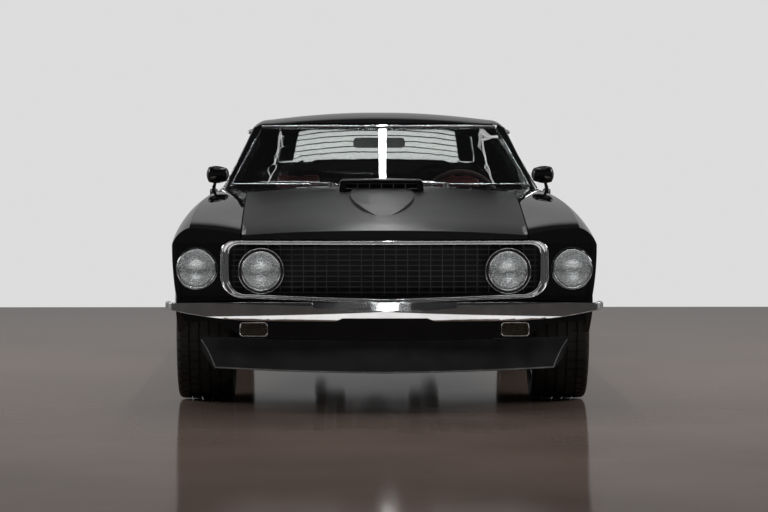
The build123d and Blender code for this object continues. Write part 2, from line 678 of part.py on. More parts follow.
def grille_surround():
    """Chrome moulding round the grille, dished at the sides."""
    ring = prism("y", grille_outline(), -2400, -2100) - prism("y", grille_outline(0, surround_side, surround_bar), -2450, -2050)
    band = swept_front(nose_line - 4) - swept_front(nose_line + 30)
    step = prism("y", grille_outline(0, 12, surround_bar), -2450, -2050) & (swept_front(nose_line - 20) - swept_front(nose_line + 8))
    save("grille_surround", (ring & band) - step)


def grille():
    """Egg-crate grille set back in its opening, with round bezels for the inner lamps."""
    face_y, depth = -2233.2, 26
    frame = prism("y", grille_outline(-2, surround_side - 30, surround_bar - 14), face_y, face_y + depth)
    frame -= prism("y", grille_outline(-2, surround_side - 2, surround_bar + 2), face_y - 10, face_y + depth + 10)
    column_pitch, row_pitch, bar = 48.5, 22.4, 3
    half = grille_half - surround_side
    low, high = grille_centre_bottom + surround_bar, grille_top - surround_bar
    bars = [frame]
    for i in range(-13, 14):
        x = i * column_pitch
        if abs(x) < half:
            bars.append(cuboid((x - bar / 2, x + bar / 2), (face_y + 3, face_y + 18), (low - 4, high + 2)))
    for i in range(1, 11):
        z = high - i * row_pitch
        if z > low:
            bars.append(cuboid((-half - 2, half + 2), (face_y + 6, face_y + 14), (z - bar / 2, z + bar / 2)))
    mesh = bars[0].fuse(*bars[1:]) & prism("y", grille_outline(-1), -2400, -2100)
    for side in (-1, 1):
        x, z = side * inner_lamp[0], inner_lamp[1]
        mesh -= rod((x, -2300, z), (x, -2100, z), 95)
        mesh += rod((x, face_y - 24, z), (x, face_y + depth, z), 96, lamp_radius + 4)
    save("grille", mesh)


def lamp(x, z, front):
    """A sealed headlamp: a domed lens in a round retaining ring, on a tapered bowl."""
    r = lamp_radius
    path = [(0, 0), (0, r - 12), (12, r - 8), ((8, r - 4), (12, r)), (34, r), (34, r - 30), (70, r - 48), (70, 0)]
    dome = [(0, 0), ((3, r * 0.5), (12, r - 8)), (40, r - 10), (40, 0)]
    body = Face(outline("y", 0, [(12, 0), *path[2:]]))
    lens = Face(outline("y", 0, dome))
    solid = Solid.revolve(body, 360, Axis.X) + Solid.revolve(lens, 360, Axis.X)
    return Pos(x, front, z) * Rot(0, 0, 90) * solid


def headlamps():
    """Four round headlamps, two in the fenders and two in the grille."""
    lamps = [lamp(side * outer_lamp[0], outer_lamp[1], -2240) for side in (-1, 1)]
    lamps += [lamp(side * inner_lamp[0], inner_lamp[1], -2262) for side in (-1, 1)]
    lips = [turned([(34, 60), (34, lamp_radius + 3.7), (40, lamp_radius + 3.7), (40, 60)]) for _ in lamps]
    placed_lamps = []
    for shape, lip, (x, z, y) in zip(
        lamps, lips, [(-788, 609, -2240), (788, 609, -2240), (-516, 600, -2262), (516, 600, -2262)]
    ):
        placed_lamps.append(shape + Pos(x, y, z) * Rot(0, 0, 90) * lip)
    save("headlamps", *placed_lamps)


tunnel_half, tunnel_high = 150, 420
rail_inner, rail_outer = 385, 452


def crowned(half, low, high):
    """The side and crown of a rounded hump, as an outline's steps from its side up to its centre line."""
    centre = (high**2 - low**2 - half**2) / (2 * (high - low))
    radius = high - centre
    return [(half, low), ((half * 0.6, centre + sqrt(radius**2 - (half * 0.6) ** 2)), (0, high))]


tunnel_outline = [(0, 205), (tunnel_half + 10, 205), *crowned(tunnel_half, tunnel_high - 90, tunnel_high)]


floor_low, floor_high = 205, 222
trunk_low = 470
kick = 860
sill_inner = 735


def underbody():
    """Floor, rear rails, rear wheel houses and trunk floor, welded into one."""
    pan = cuboid((0, sill_inner), (cowl_front + 20, kick), (floor_low, floor_high)) - prism("y", tunnel_outline, -1200, kick)
    riser = cuboid((0, 640), (kick, kick + 16), (floor_low, trunk_low + 15)) - cuboid((0, tunnel_half - 20), (kick, kick + 16), (200, 400))
    trunk = cuboid((0, 612), (kick, 2256), (trunk_low, trunk_low + 15))
    rail = cuboid((470, 545), (kick, 2256), (trunk_low - 80, trunk_low))
    house_r = arch_radius + 6
    centre = tyre_radius + arch_rise
    house = rod((560, rear_axle, centre), (806, rear_axle, centre), house_r + 14) - rod((574, rear_axle, centre), (900, rear_axle, centre), house_r)
    house = house & cuboid((0, 1000), (900, 1800), (trunk_low - 40, 800))
    save("underbody", both(pan + riser + trunk + rail + house))


def tunnel():
    """Tunnel over the gearbox and the propeller shaft."""
    hollow = [(0, floor_low - 10), (tunnel_half - 6, floor_low - 10), *crowned(tunnel_half - 14, tunnel_high - 96, tunnel_high - 16)]
    save("tunnel", both(prism("y", tunnel_outline, cowl_front + 20, kick) - prism("y", hollow, -1200, kick + 40)))


def sills():
    """Sills under the doors, from the front pillars to the rear wheel houses."""
    section = [(sill_inner, 192), (812, 192), (838, 226), (842, sill_top), (sill_inner, sill_top)]
    save("sills", *pair(prism("y", section, cowl_front + 2, 942)))


def front_frame():
    """Front rails with their drop under the floor, inner fenders, spring towers, crossmember and radiator."""
    drop = prism("x", [(cowl_front - 68, 330), (cowl_front - 68, 415), (cowl_front + 6, 415), (-712, floor_high), (-560, floor_high), (-560, 180), (-780, 190)], rail_inner, rail_outer)
    drop -= cuboid((0, sill_inner), (cowl_front + 20, kick), (floor_low, floor_high))
    front_rail = cuboid((rail_inner, rail_outer), (-2186, cowl_front - 48), (330, 415)) + drop
    apron = prism("x", [(-2186, 400), (-2186, 690), (-1700, 770), (cowl_front - 6, 830), (cowl_front - 6, 400)], 452, 466)
    tower = cuboid((372, 466), (front_axle - 95, front_axle + 95), (400, 800))
    support = cuboid((0, 560), (-2186, -2168), (345, 700)) + cuboid((550, 690), (-2186, -2168), (450, 700))
    support = support - cuboid((-10, 372), (-2200, -2100), (385, 668))
    lamp_hole = rod((inner_lamp[0], -2300, inner_lamp[1]), (inner_lamp[0], -2100, inner_lamp[1]), 70)
    support = support - lamp_hole - rod((outer_lamp[0], -2300, outer_lamp[1]), (outer_lamp[0], -2100, outer_lamp[1]), 90)
    crossmember = cuboid((0, 452), (front_axle - 40, front_axle + 40), (235, 330)) - cuboid((-10, 250), (-1600, -1300), (270, 340))
    radiator = cuboid((0, 330), (-2166, -2122), (385, 668)) + cuboid((330, 373), (-2180, -2116), (385, 668))
    save("front_frame", both(radiator + front_rail + apron + tower + support + crossmember))


gearbox_end = -480


def engine():
    """Engine and gearbox as one plain block, standing on the front crossmember."""
    block = cuboid((-255, 255), (-1900, -1190), (330.3, 745)) - both(cuboid((252, 300), (-1400, -1390), (300, 310)))
    sump = cuboid((-110, 110), (-1380, -1200), (210, 331))
    feet = both(cuboid((255, 371.7), (front_axle - 30, front_axle + 30), (330.3, 360)))
    gearbox = cuboid((-95, 95), (-1190, gearbox_end), (225, 360))
    save("engine", block + feet + gearbox + sump)


def rear_axle_assembly():
    """Live rear axle: banjo, tubes, brake flanges and spindles, with its two leaf springs and its propeller shaft."""
    y, z = rear_axle, tyre_radius
    axle = rod((62 - track_half, y, z), (track_half - 62, y, z), 38)
    for side in (-1, 1):
        axle += rod((side * (track_half - 62), y, z), (side * (track_half + 28), y, z), spindle_radius - running_clearance)
        axle += rod((side * (track_half - 72), y, z), (side * (track_half - 62), y, z), 70)
    axle += Pos(0, y, z) * Sphere(118)
    axle += rod((0, y - 180, z), (0, y, z), 55)
    x = 508
    leaf_low = z - 38
    front_eye, rear_eye = y - 400, y + 560
    leaves = []
    for i, reach in enumerate((1.0, 0.72, 0.45)):
        sag = 7 * i
        a, b = y + (front_eye - y) * reach, y + (rear_eye - y) * reach
        lift = 60 * reach**2
        leaves.append(
            prism(
                "x",
                [(a, leaf_low - sag + lift), ((y, leaf_low - sag), (b, leaf_low - sag + lift)), (b, leaf_low - sag + lift - 7), ((y, leaf_low - sag - 7), (a, leaf_low - sag + lift - 7))],
                x - 30,
                x + 30,
            )
        )
    pad = cuboid((x - 36, x + 36), (y - 50, y + 50), (leaf_low - 32, z))
    hanger = cuboid((x - 34, x + 34), (front_eye - 20, front_eye + 20), (leaf_low + 40, 389.7))
    shackle = cuboid((x - 34, x + 34), (rear_eye - 14, rear_eye + 14), (leaf_low + 40, 389.7))
    spring = pad + hanger + shackle + leaves[0] + leaves[1] + leaves[2]
    start, end = (0, gearbox_end + seat_gap, 300), (0, y - 180 - seat_gap, z)
    shaft = rod(start, end, 38) & cuboid((-60, 60), (start[1], end[1]), (200, 400))
    save("rear_axle", axle + both(spring), shaft)


def front_suspension():
    """Lower arms, tension struts and anti-roll bar of the front axle."""
    y = front_axle
    ball = track_half - kingpin_inset
    arm_low = 150
    arm = prism("z", [(330, y - 26), (ball - 40, y - 26), ((ball + 28, y), (ball - 40, y + 26)), (330, y + 26)], arm_low, arm_low + 22)
    pivot = rod((330, y - 45, arm_low + 11), (330, y + 45, arm_low + 11), 26)
    hanger = cuboid((318, 342), (y - 38, y + 38), (arm_low + 20, 234.7))
    strut = rod((ball - 185, y - 20, arm_low + 30), (420, y - 470, 300), 12)
    strut_foot = cuboid((400, 440), (y - 490, y - 450), (285, 329.7))
    bar = rod((0, y - 300, 250), (400, y - 300, 250), 12) + rod((400, y - 300, 250), (ball - 120, y - 40, arm_low + 18), 12)
    bar_mount = cuboid((392, 416), (y - 312, y - 288), (240, 329.7))
    save("front_suspension", *pair(arm + pivot + hanger + strut + strut_foot + rod((400, y - 300, 250), (ball - 120, y - 40, arm_low + 18), 12) + bar_mount))


def exhaust():
    """Twin pipes, two oval silencers and tail pipes that leave under the rear bumper."""
    x = 235
    low, high, out = 170, 268, x + 60
    form = rod((x, -1250, low), (x, 500, low), 28) + rod((x, -1250, low), (x, -1250, 329), 28)
    form += fillet(cuboid((x - 75, x + 75), (300, 780), (low - 30, low + 30)).edges().filter_by(Axis.Y), 28)
    form += rod((x, 760, low), (out, 1000, low), 28) + rod((out, 1000, low), (out, 1500, low + 6), 28)
    form += rod((out, 1500, low + 6), (out, 1900, high), 28) + rod((out, 1900, high), (out, 2250, high), 28)
    form += rod((out, 2240, high), (out, 2330, high), 34, 28)
    form += cuboid((x - 8, x + 8), (-300, -270), (low, 204.7)) + cuboid((out - 8, out + 8), (2150, 2190), (high, 469.7))
    save("exhaust", *pair(form))


def fuel_tank():
    """Flat fuel tank hung under the trunk floor."""
    tank = cuboid((-190, 190), (1640, 2140), (290, 469.7))
    save("fuel_tank", fillet(tank.edges().filter_by(Axis.Z), 50))


def knuckle():
    """Front knuckle: upright, spindle, brake caliper, ball-joint bosses and steering arm."""
    y, z = front_axle, tyre_radius
    pin = track_half - kingpin_inset
    upright = prism("y", [(pin - 22, z - 150), (pin + 22, z - 150), (pin + 30, z - 40), (pin + 30, z + 60), (pin + 14, z + 172), (pin - 14, z + 172), (pin - 22, z + 40)], y - 28, y + 28)
    hub = rod((pin - 10, y, z), (pin + 32, y, z), 48)
    spindle = rod((pin + 20, y, z), (track_half + 28, y, z), spindle_radius - running_clearance)
    arm = prism("z", [(pin - 20, y + 10), (pin - 52, y + 128), (pin - 30, y + 132), (pin + 16, y + 20)], z - 110, z - 90)
    boss = rod((pin, y, z - 154.7), (pin, y, z - 120), 24)
    caliper = prism("x", [(y - 118, z - 40), (y - 148, z), (y - 118, z + 44), (y - 20, z + 30), (y - 20, z - 30)], pin + 4, pin + 36)
    save_sides("knuckle", upright + hub + spindle + arm + boss + caliper)


def wheel(side, y):
    """Five-spoke road wheel with its barrel, hub, brake disc and lug nuts."""
    half = rim_width / 2
    seat, well, wall = rim_radius - 13, rim_radius - 32, 9
    barrel = turned(
        [
            (-half, seat - wall), (-half, rim_radius), (10 - half, rim_radius), (12 - half, seat), (38 - half, seat),
            (52 - half, well), (half - 66, well), (half - 46, seat), (half - 12, seat), (half - 10, rim_radius),
            (half, rim_radius), (half, rim_radius - 8), (half - 14, seat - wall), (half - 52, seat - wall - 2),
            (half - 68, well - wall), (46 - half, well - wall), (34 - half, seat - wall),
        ]
    )
    hub = turned([(-14, 0), (-14, 62), (48, 62), (52, 58), (78, 56), (84, 40), (94, 34), (98, 26), (98, 0)])
    spoke_path = [(46, -34), (84, -26), (88, 0), (84, 26), (46, 34)]
    root = outline("z", 45, spoke_path)
    end_path = [(40, -46), (66, -40), (72, 0), (66, 40), (40, 46)]
    end = outline("z", well + 3, end_path)
    spoke = Solid.make_loft([root, end], True)
    form = barrel + hub
    for i in range(spoke_count):
        form = form + Rot(360 / spoke_count * i, 0, 0) * spoke
        angle = 360 / spoke_count * (i + 0.5)
        form = form + Rot(angle, 0, 0) * rod((76, 0, 46), (94, 0, 46), 9)
    disc = turned([(-34, 55), (-34, 148), (-12, 148), (-12, 55)])
    form = form + disc
    form = form - turned([(-40, 0), (-40, spindle_radius), (30, spindle_radius), (30, 0)])
    return Pos(side * track_half, y, tyre_radius) * (form if side > 0 else mirror(form, about=Plane.YZ))


def tyre(side, y):
    """Broad tyre seated on the rim's flanges: flat sidewalls, bevelled shoulders and a plain tread."""
    half, r = tyre_width / 2, tyre_radius
    shoulder_wide, shoulder_high = 10.5, 12
    flank = [(half, rim_radius + seat_gap), (half, r - shoulder_high), (half - shoulder_wide, r)]
    return turned([*flank, *[(-x, level) for x, level in reversed(flank)]], (side * track_half, y, tyre_radius))


def wheels():
    """Four wheels and tyres."""
    for name, side, y in (("front_left", 1, front_axle), ("front_right", -1, front_axle), ("rear_left", 1, rear_axle), ("rear_right", -1, rear_axle)):
        save(f"wheel_{name}", wheel(side, y))
        save(f"tyre_{name}", tyre(side, y))


seat_x = 395
column_x = 385


def dashboard():
    """Dashboard with two hooded bays, a centre stack and a console along the tunnel."""
    section = [(-850, 876), (-640, 874), ((-590, 856), (-560, 800)), (-580, 690), (-640, 640), (-850, 640)]
    form = prism("x", section, -594, 594)
    for x in (-seat_x, seat_x):
        hood_bay = prism("x", [(-700, 880), ((-600, 912), (-520, 880)), (-535, 810), (-700, 810)], x - 190, x + 190)
        hood_bay -= cuboid((x - 170, x + 170), (-560, -500), (824, 872))
        form = form + hood_bay
    console = cuboid((-95, 95), (-640, 60), (420.3, 470)) + cuboid((-95, 95), (-640, -560), (420.3, 700))
    column = rod((column_x, -600, 760), (column_x, -420, 800), 26)
    save("dashboard", form + console + column)


def steering_wheel():
    """Three-spoke steering wheel on the column."""
    tilt = degrees(atan2(40, 180))
    rim = Solid.make_torus(185, 13, Plane.XY)
    reach = sqrt(48**2 + 11**2) - seat_gap
    hub = Solid.make_cylinder(42, reach, Plane(origin=(0, 0, -reach), z_dir=(0, 0, 1)))
    form = rim + hub
    for angle in (90, 210, 330):
        form = form + Rot(0, 0, angle) * cuboid((30, 180), (-14, 14), (-8, -2))
    form = Pos(column_x, -372, 811) * Rot(-90 + tilt, 0, 0) * form
    save("steering_wheel", form)


def seat(x, width, y, base, back_top):
    """A cushion and a reclined back with a head restraint."""
    half = width / 2
    cushion = cuboid((x - half, x + half), (y - 480, y + 20), (base, base + 150))
    cushion = fillet(cushion.edges().filter_by(Axis.X).group_by(Axis.Z)[-1], 40)
    backrest = prism("x", [(y - 60, base + 130), (y + 60, base + 110), (y + 190, back_top - 10), ((y + 160, back_top + 16), (y + 110, back_top - 6))], x - half, x + half)
    return cushion + backrest


def seats():
    """Two bucket seats in front and a folding bench behind."""
    fronts = []
    for x in (-seat_x, seat_x):
        bucket = seat(x, 470, 10, 262, 900)
        rest = fillet(cuboid((x - 120, x + 120), (160, 215), (880, 985)).edges().filter_by(Axis.Y), 30)
        runner = cuboid((x - 200, x + 200), (-420, -20), (222.3, 263))
        fronts.append(bucket + rest + runner)
    bench = cuboid((-520, 520), (480, 859.7), (421, 520)) + cuboid((-520, -170), (480, 859.7), (222.3, 430)) + cuboid((170, 520), (480, 859.7), (222.3, 430))
    back = prism("x", [(800, 500), (859.7, 500), (859.7, 560), (1000, 849.7), (900, 849.7)], -520, 520)
    save("seats", *fronts, bench + back)


def mirror_pod():
    """Door mirror: a rounded pod on a short stalk."""
    pod = fillet(cuboid((705, 805), (-742, -668), (945, 1022)).edges(), 22)
    stalk = rod((776, -700, 890), (766, -702, 960), 10)
    base = rod((776, -700, 880), (776, -700, 916), 19)
    form = (pod + stalk + base) - lower_body(-seat_gap)
    save_sides("mirror", form)


def wipers():
    """Two wiper arms and blades at rest along the foot of the windscreen."""
    arms = []
    for pivot_x, tip_x in ((-230, -560), (300, -60)):
        reach = tip_x - pivot_x
        pivot = rod((pivot_x, -858, 900), (pivot_x, -858, 948), 12)
        arm = rod((pivot_x, -858, 944), (pivot_x + reach * 0.55, -842, 952), 5)
        blade = rod((pivot_x + reach * 0.15, -848, 950), (pivot_x + reach, -838, 950), 5)
        arms.append(pivot + arm + blade)
    save("wipers", *[a - both(lower_body(-seat_gap)) for a in arms])


def rear_view_mirror():
    """Oval inside mirror hung from the header."""
    glass = fillet(cuboid((-125, 125), (-190, -168), (1105, 1155)).edges().filter_by(Axis.Y), 20)
    stem = rod((0, -172, 1150), (0, -158, 1260), 6) & both(glasshouse(roof_thickness + seat_gap))
    save("rear_view_mirror", glass + stem)


def main():
    """Writes every node."""
    for build in (
        front_fenders, hood, hood_scoop, cowl, roof, quarters, doors, door_glass, fixed_glass, louvres,
        trunk_lid, parcel_shelf, tail_panel, tail_lamps, front_bumper, rear_bumper, front_valance, parking_lamps,
        chin_spoiler, grille_surround, grille, headlamps, underbody, tunnel, sills, front_frame, engine, rear_axle_assembly,
        front_suspension, exhaust, fuel_tank, knuckle, wheels, dashboard, steering_wheel, seats, mirror_pod, wipers,
        rear_view_mirror,
    ):
        build()
        print(build.__name__)


main()
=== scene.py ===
import json
from math import atan2, cos, exp, hypot, pi, radians, sin, sqrt

import bmesh
import bpy
from mathutils import Matrix, Quaternion, Vector
from mathutils.bvhtree import BVHTree


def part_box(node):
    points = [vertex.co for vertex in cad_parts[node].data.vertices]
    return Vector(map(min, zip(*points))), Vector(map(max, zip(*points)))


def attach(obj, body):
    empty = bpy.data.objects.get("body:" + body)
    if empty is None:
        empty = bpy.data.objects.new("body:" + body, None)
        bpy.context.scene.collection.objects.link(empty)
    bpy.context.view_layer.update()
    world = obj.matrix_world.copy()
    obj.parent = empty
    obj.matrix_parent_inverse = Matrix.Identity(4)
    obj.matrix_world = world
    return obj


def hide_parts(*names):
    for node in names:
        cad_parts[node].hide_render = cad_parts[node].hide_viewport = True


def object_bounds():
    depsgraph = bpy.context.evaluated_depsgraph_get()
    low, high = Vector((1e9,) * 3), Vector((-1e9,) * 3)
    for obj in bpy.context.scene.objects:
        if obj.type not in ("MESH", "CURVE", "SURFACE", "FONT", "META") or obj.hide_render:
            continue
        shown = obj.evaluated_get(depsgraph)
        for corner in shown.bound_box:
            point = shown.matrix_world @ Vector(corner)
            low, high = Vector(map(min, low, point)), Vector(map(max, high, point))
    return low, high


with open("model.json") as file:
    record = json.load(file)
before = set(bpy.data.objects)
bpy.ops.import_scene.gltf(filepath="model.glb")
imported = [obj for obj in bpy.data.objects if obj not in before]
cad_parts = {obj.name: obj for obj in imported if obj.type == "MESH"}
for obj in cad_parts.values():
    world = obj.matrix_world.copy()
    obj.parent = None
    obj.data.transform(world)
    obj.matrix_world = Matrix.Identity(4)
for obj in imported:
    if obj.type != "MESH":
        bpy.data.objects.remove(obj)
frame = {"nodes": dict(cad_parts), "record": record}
cadLow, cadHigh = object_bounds()
print("frame loaded, car", [round(v, 3) for v in cadHigh - cadLow])


# Camera, floor and light

viewpoint = {"place": (-0.17, -15.38, 1.16), "lens": 147.5, "down": 2.17, "right": 0.73}


def setCamera():
    data = bpy.data.cameras.new("camera")
    data.lens = viewpoint["lens"]
    data.sensor_width = 36
    data.clip_end = 200
    camera = bpy.data.objects.new("camera", data)
    camera.location = viewpoint["place"]
    camera.rotation_euler = (radians(90 - viewpoint["down"]), 0, radians(-viewpoint["right"]))
    bpy.context.scene.collection.objects.link(camera)
    bpy.context.scene.camera = camera


studio = {
    "floorHalf": 9.0,
    "floorEnd": 6.05,
    "floorColour": (0.200, 0.148, 0.125),
    "wallColour": (0.72, 0.72, 0.72, 1),
    "mirroredWall": (0.32, 0.32, 0.32, 1),
    "wallThroughGlass": (1.05, 1.05, 1.05, 1),
    "ceilingColour": (0.020, 0.020, 0.021, 1),
    "wallTop": 0.31,                    # how high the wall reaches in reflections, as the rise of a direction
    "wallFade": 0.07,
    "frontWall": 0.16,                  # share of the wall's light that comes from ahead of the car
    "frontFade": 0.1,
    "straightBehind": (0.97, 0.985),    # directions in which the wall shows through the windows
}
# place, size across X and along Y (or up), power, the point it faces and its turn about that aim
lamps = {
    "tubeMiddle": ((0.07, 0.6, 4.2), (0.065, 9.0), 42, (0.07, 0.6, 0), 0),
    "tubeLeft": ((2.1, 0.6, 4.0), (0.08, 9.0), 50, (1.2, 0.6, 0), 0),
    "tubeRight": ((-2.1, 0.6, 4.0), (0.08, 9.0), 50, (-1.2, 0.6, 0), 0),
    "softLeft": ((7.0, -1.0, 3.6), (5.0, 2.0), 190, (0, -0.5, 0.5), 0),
    "softRight": ((-7.0, -1.0, 3.6), (5.0, 2.0), 190, (0, -0.5, 0.5), 0),
    "softFront": ((0.0, -8.0, 8.5), (7.0, 2.0), 130, (0, -2.0, 0.0), 0),
    "lowFront": ((0.0, -3.9, 0.004), (5.2, 2.2), 30, (0, -3.9, 1.0), 0),
    "screenStripeLeft": ((1.045, 1.62, 4.0), (0.007, 0.36), 0.03, (1.045, 1.62, 0), 62),
    "screenStripeRight": ((-0.945, 1.60, 4.0), (0.007, 0.36), 0.03, (-0.945, 1.60, 0), -60),
}


def addLamps():
    for name, (place, size, power, target, turn) in lamps.items():
        data = bpy.data.lights.new(name, "AREA")
        data.shape = "RECTANGLE"
        data.size, data.size_y = size
        data.energy = power
        lamp = bpy.data.objects.new(name, data)
        lamp.location = place
        aim = Vector(target) - Vector(place)
        aboutAim = Quaternion((0, 0, 1), radians(turn))
        lamp.rotation_euler = (aim.to_track_quat("-Z", "Y") @ aboutAim).to_euler()
        lamp.visible_camera = False
        bpy.context.scene.collection.objects.link(lamp)


def mapped(tree, source, start, end, low=0.0, high=1.0):
    node = tree.nodes.new("ShaderNodeMapRange")
    node.inputs["From Min"].default_value, node.inputs["From Max"].default_value = start, end
    node.inputs["To Min"].default_value, node.inputs["To Max"].default_value = low, high
    tree.links.new(source, node.inputs["Value"])
    return node.outputs[0]


def product(tree, first, second):
    node = tree.nodes.new("ShaderNodeMath")
    node.operation = "MULTIPLY"
    tree.links.new(first, node.inputs[0])
    tree.links.new(second, node.inputs[1])
    return node.outputs[0]


def blended(tree, share, base, colour):
    node = tree.nodes.new("ShaderNodeMix")
    node.data_type = "RGBA"
    tree.links.new(share, node.inputs[0])
    if isinstance(base, tuple):
        node.inputs[6].default_value = base
    else:
        tree.links.new(base, node.inputs[6])
    node.inputs[7].default_value = colour
    return node.outputs[2]


def buildWorld():
    world = bpy.data.worlds.new("studio")
    bpy.context.scene.world = world
    world.use_nodes = True
    tree = world.node_tree
    coordinate = tree.nodes.new("ShaderNodeTexCoord")
    path = tree.nodes.new("ShaderNodeLightPath")
    split = tree.nodes.new("ShaderNodeSeparateXYZ")
    tree.links.new(coordinate.outputs["Generated"], split.inputs[0])
    # reflections meet a dimmer wall that ends low down, under a dark ceiling
    top, fade = studio["wallTop"], studio["frontFade"]
    low = mapped(tree, split.outputs["Z"], top + studio["wallFade"], top)
    rear = mapped(tree, split.outputs["Y"], -fade, fade, studio["frontWall"])
    room = blended(tree, product(tree, low, rear), studio["ceilingColour"], studio["mirroredWall"])
    # through the windows and straight on, the wall keeps its light
    straight = mapped(tree, split.outputs["Y"], *studio["straightBehind"])
    glazed = product(tree, path.outputs["Is Transmission Ray"], straight)
    through = blended(tree, glazed, room, studio["wallThroughGlass"])
    seen = blended(tree, path.outputs["Is Camera Ray"], through, studio["wallColour"])
    tree.links.new(seen, tree.nodes["Background"].inputs["Color"])


def buildFloor():
    bm = bmesh.new()
    bmesh.ops.create_grid(bm, x_segments=1, y_segments=1, size=studio["floorHalf"])
    bmesh.ops.translate(bm, verts=bm.verts, vec=(0, studio["floorEnd"] - studio["floorHalf"], 0))
    floor = meshObject("floor", bm, floorPaint())


# Mesh helpers


def meshObject(name, bm, material, smooth=None):
    mesh = bpy.data.meshes.new(name)
    bm.normal_update()
    bm.to_mesh(mesh)
    bm.free()
    mesh.materials.append(material)
    piece = bpy.data.objects.new(name, mesh)
    bpy.context.scene.collection.objects.link(piece)
    if smooth is not None:
        mesh.shade_smooth()
        mesh.set_sharp_from_angle(angle=radians(smooth))
    return piece


def addPiece(name, bm, finish, body, stands=(), smooth=35):
    piece = meshObject(name, bm, finishes[finish], smooth)
    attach(piece, body)
    if stands:
        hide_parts(*stands)
    return piece


# what turns a profile spun round X to the axis named
axisTurns = {"x": Matrix(), "y": Matrix.Rotation(pi / 2, 4, "Z"), "z": Matrix.Rotation(-pi / 2, 4, "Y")}


def turned(profile, place, axis="y", steps=64, closed=False):
    bm = bmesh.new()
    ring = [bm.verts.new((along, 0, radius)) for along, radius in profile]
    edges = [bm.edges.new(pair) for pair in zip(ring, ring[1:])]
    if closed:
        edges.append(bm.edges.new((ring[-1], ring[0])))
    bmesh.ops.spin(bm, geom=ring + edges, cent=(0, 0, 0), axis=(1, 0, 0), angle=2 * pi, steps=steps,
                   use_merge=True)
    bmesh.ops.remove_doubles(bm, verts=bm.verts, dist=1e-6)
    bmesh.ops.recalc_face_normals(bm, faces=bm.faces)
    bmesh.ops.transform(bm, matrix=Matrix.Translation(place) @ axisTurns[axis], verts=bm.verts)
    return bm


def bandMesh(loops, closed=True):
    bm = bmesh.new()
    rings = []
    for loop in loops:
        verts = [bm.verts.new(point) for point in loop]
        edges = [bm.edges.new(pair) for pair in zip(verts, verts[1:])]
        if closed:
            edges.append(bm.edges.new((verts[-1], verts[0])))
        rings.append(edges)
    for near, far in zip(rings, rings[1:] + rings[:1]):
        bmesh.ops.bridge_loops(bm, edges=near + far)
    bmesh.ops.recalc_face_normals(bm, faces=bm.faces)
    return bm


def ringEdges(ring):
    inside = set(ring)
    edges = [(vert, edge) for vert in ring for edge in vert.link_edges]
    return [edge for vert, edge in edges if vert is edge.verts[0] and edge.verts[1] in inside]


def rodMesh(path, radius, closed=False, sides=10):
    bm = bmesh.new()
    count = len(path)
    rings = []
    for i, point in enumerate(path):
        before = Vector(path[(i - 1) % count] if closed or i else path[0])
        after = Vector(path[(i + 1) % count] if closed or i < count - 1 else path[-1])
        turn = (after - before).to_track_quat("Z", "Y").to_matrix().to_4x4()
        reach = radius[i] if isinstance(radius, (list, tuple)) else radius
        made = bmesh.ops.create_circle(bm, segments=sides, radius=reach, cap_ends=False,
                                       matrix=Matrix.Translation(point) @ turn)
        rings.append(made["verts"])
    outlines = [ringEdges(ring) for ring in rings]
    pairs = list(zip(outlines, outlines[1:]))
    if closed:
        pairs.append((outlines[-1], outlines[0]))
    for near, far in pairs:
        bmesh.ops.bridge_loops(bm, edges=near + far)
    if not closed:
        for ring in (rings[0], rings[-1]):
            bm.faces.new(ring)
    bmesh.ops.recalc_face_normals(bm, faces=bm.faces)
    return bm


def soften(bm, radius, segments):
    bmesh.ops.bevel(bm, geom=bm.edges[:], offset=radius, offset_type="OFFSET", segments=segments,
                    profile=0.5, affect="EDGES", material=-1)


def blockMesh(low, high, soft=0.003, segments=3, into=None):
    bm = bmesh.new()
    bmesh.ops.create_cube(bm, size=1)
    size = [b - a for a, b in zip(low, high)]
    bmesh.ops.scale(bm, vec=size, verts=bm.verts)
    bmesh.ops.translate(bm, vec=[(a + b) / 2 for a, b in zip(low, high)], verts=bm.verts)
    if soft:
        soften(bm, soft, segments)
    if into:
        joinMesh(into, bm)
        return into
    return bm


def joinMesh(bm, other):
    carrier = bpy.data.meshes.new("carrier")
    other.to_mesh(carrier)
    other.free()
    bm.from_mesh(carrier)
    bpy.data.meshes.remove(carrier)


trees = {}


def surfaceHit(node, start, direction):
    if node not in trees:
        mesh = frame["nodes"][node].data
        points = [vert.co for vert in mesh.vertices]
        trees[node] = BVHTree.FromPolygons(points, [face.vertices for face in mesh.polygons])
    return trees[node].ray_cast(Vector(start), Vector(direction))[:2]


# Finishes


def newFinish(name, colour, roughness, metallic=0.0, **sockets):
    material = bpy.data.materials.new(name)
    material.use_nodes = True
    shader = material.node_tree.nodes["Principled BSDF"]
    shader.inputs["Base Color"].default_value = (*colour, 1)
    shader.inputs["Roughness"].default_value = roughness
    shader.inputs["Metallic"].default_value = metallic
    for socket, value in sockets.items():
        shader.inputs[socket.replace("_", " ")].default_value = value
    return material


def addNoise(material, scale, detail=3.0, stretch=(1, 1, 1)):
    nodes, links = material.node_tree.nodes, material.node_tree.links
    coordinate = nodes.new("ShaderNodeTexCoord")
    mapping = nodes.new("ShaderNodeMapping")
    mapping.inputs["Scale"].default_value = stretch
    links.new(coordinate.outputs["Object"], mapping.inputs["Vector"])
    noise = nodes.new("ShaderNodeTexNoise")
    noise.inputs["Scale"].default_value = scale
    noise.inputs["Detail"].default_value = detail
    links.new(mapping.outputs[0], noise.inputs["Vector"])
    return noise


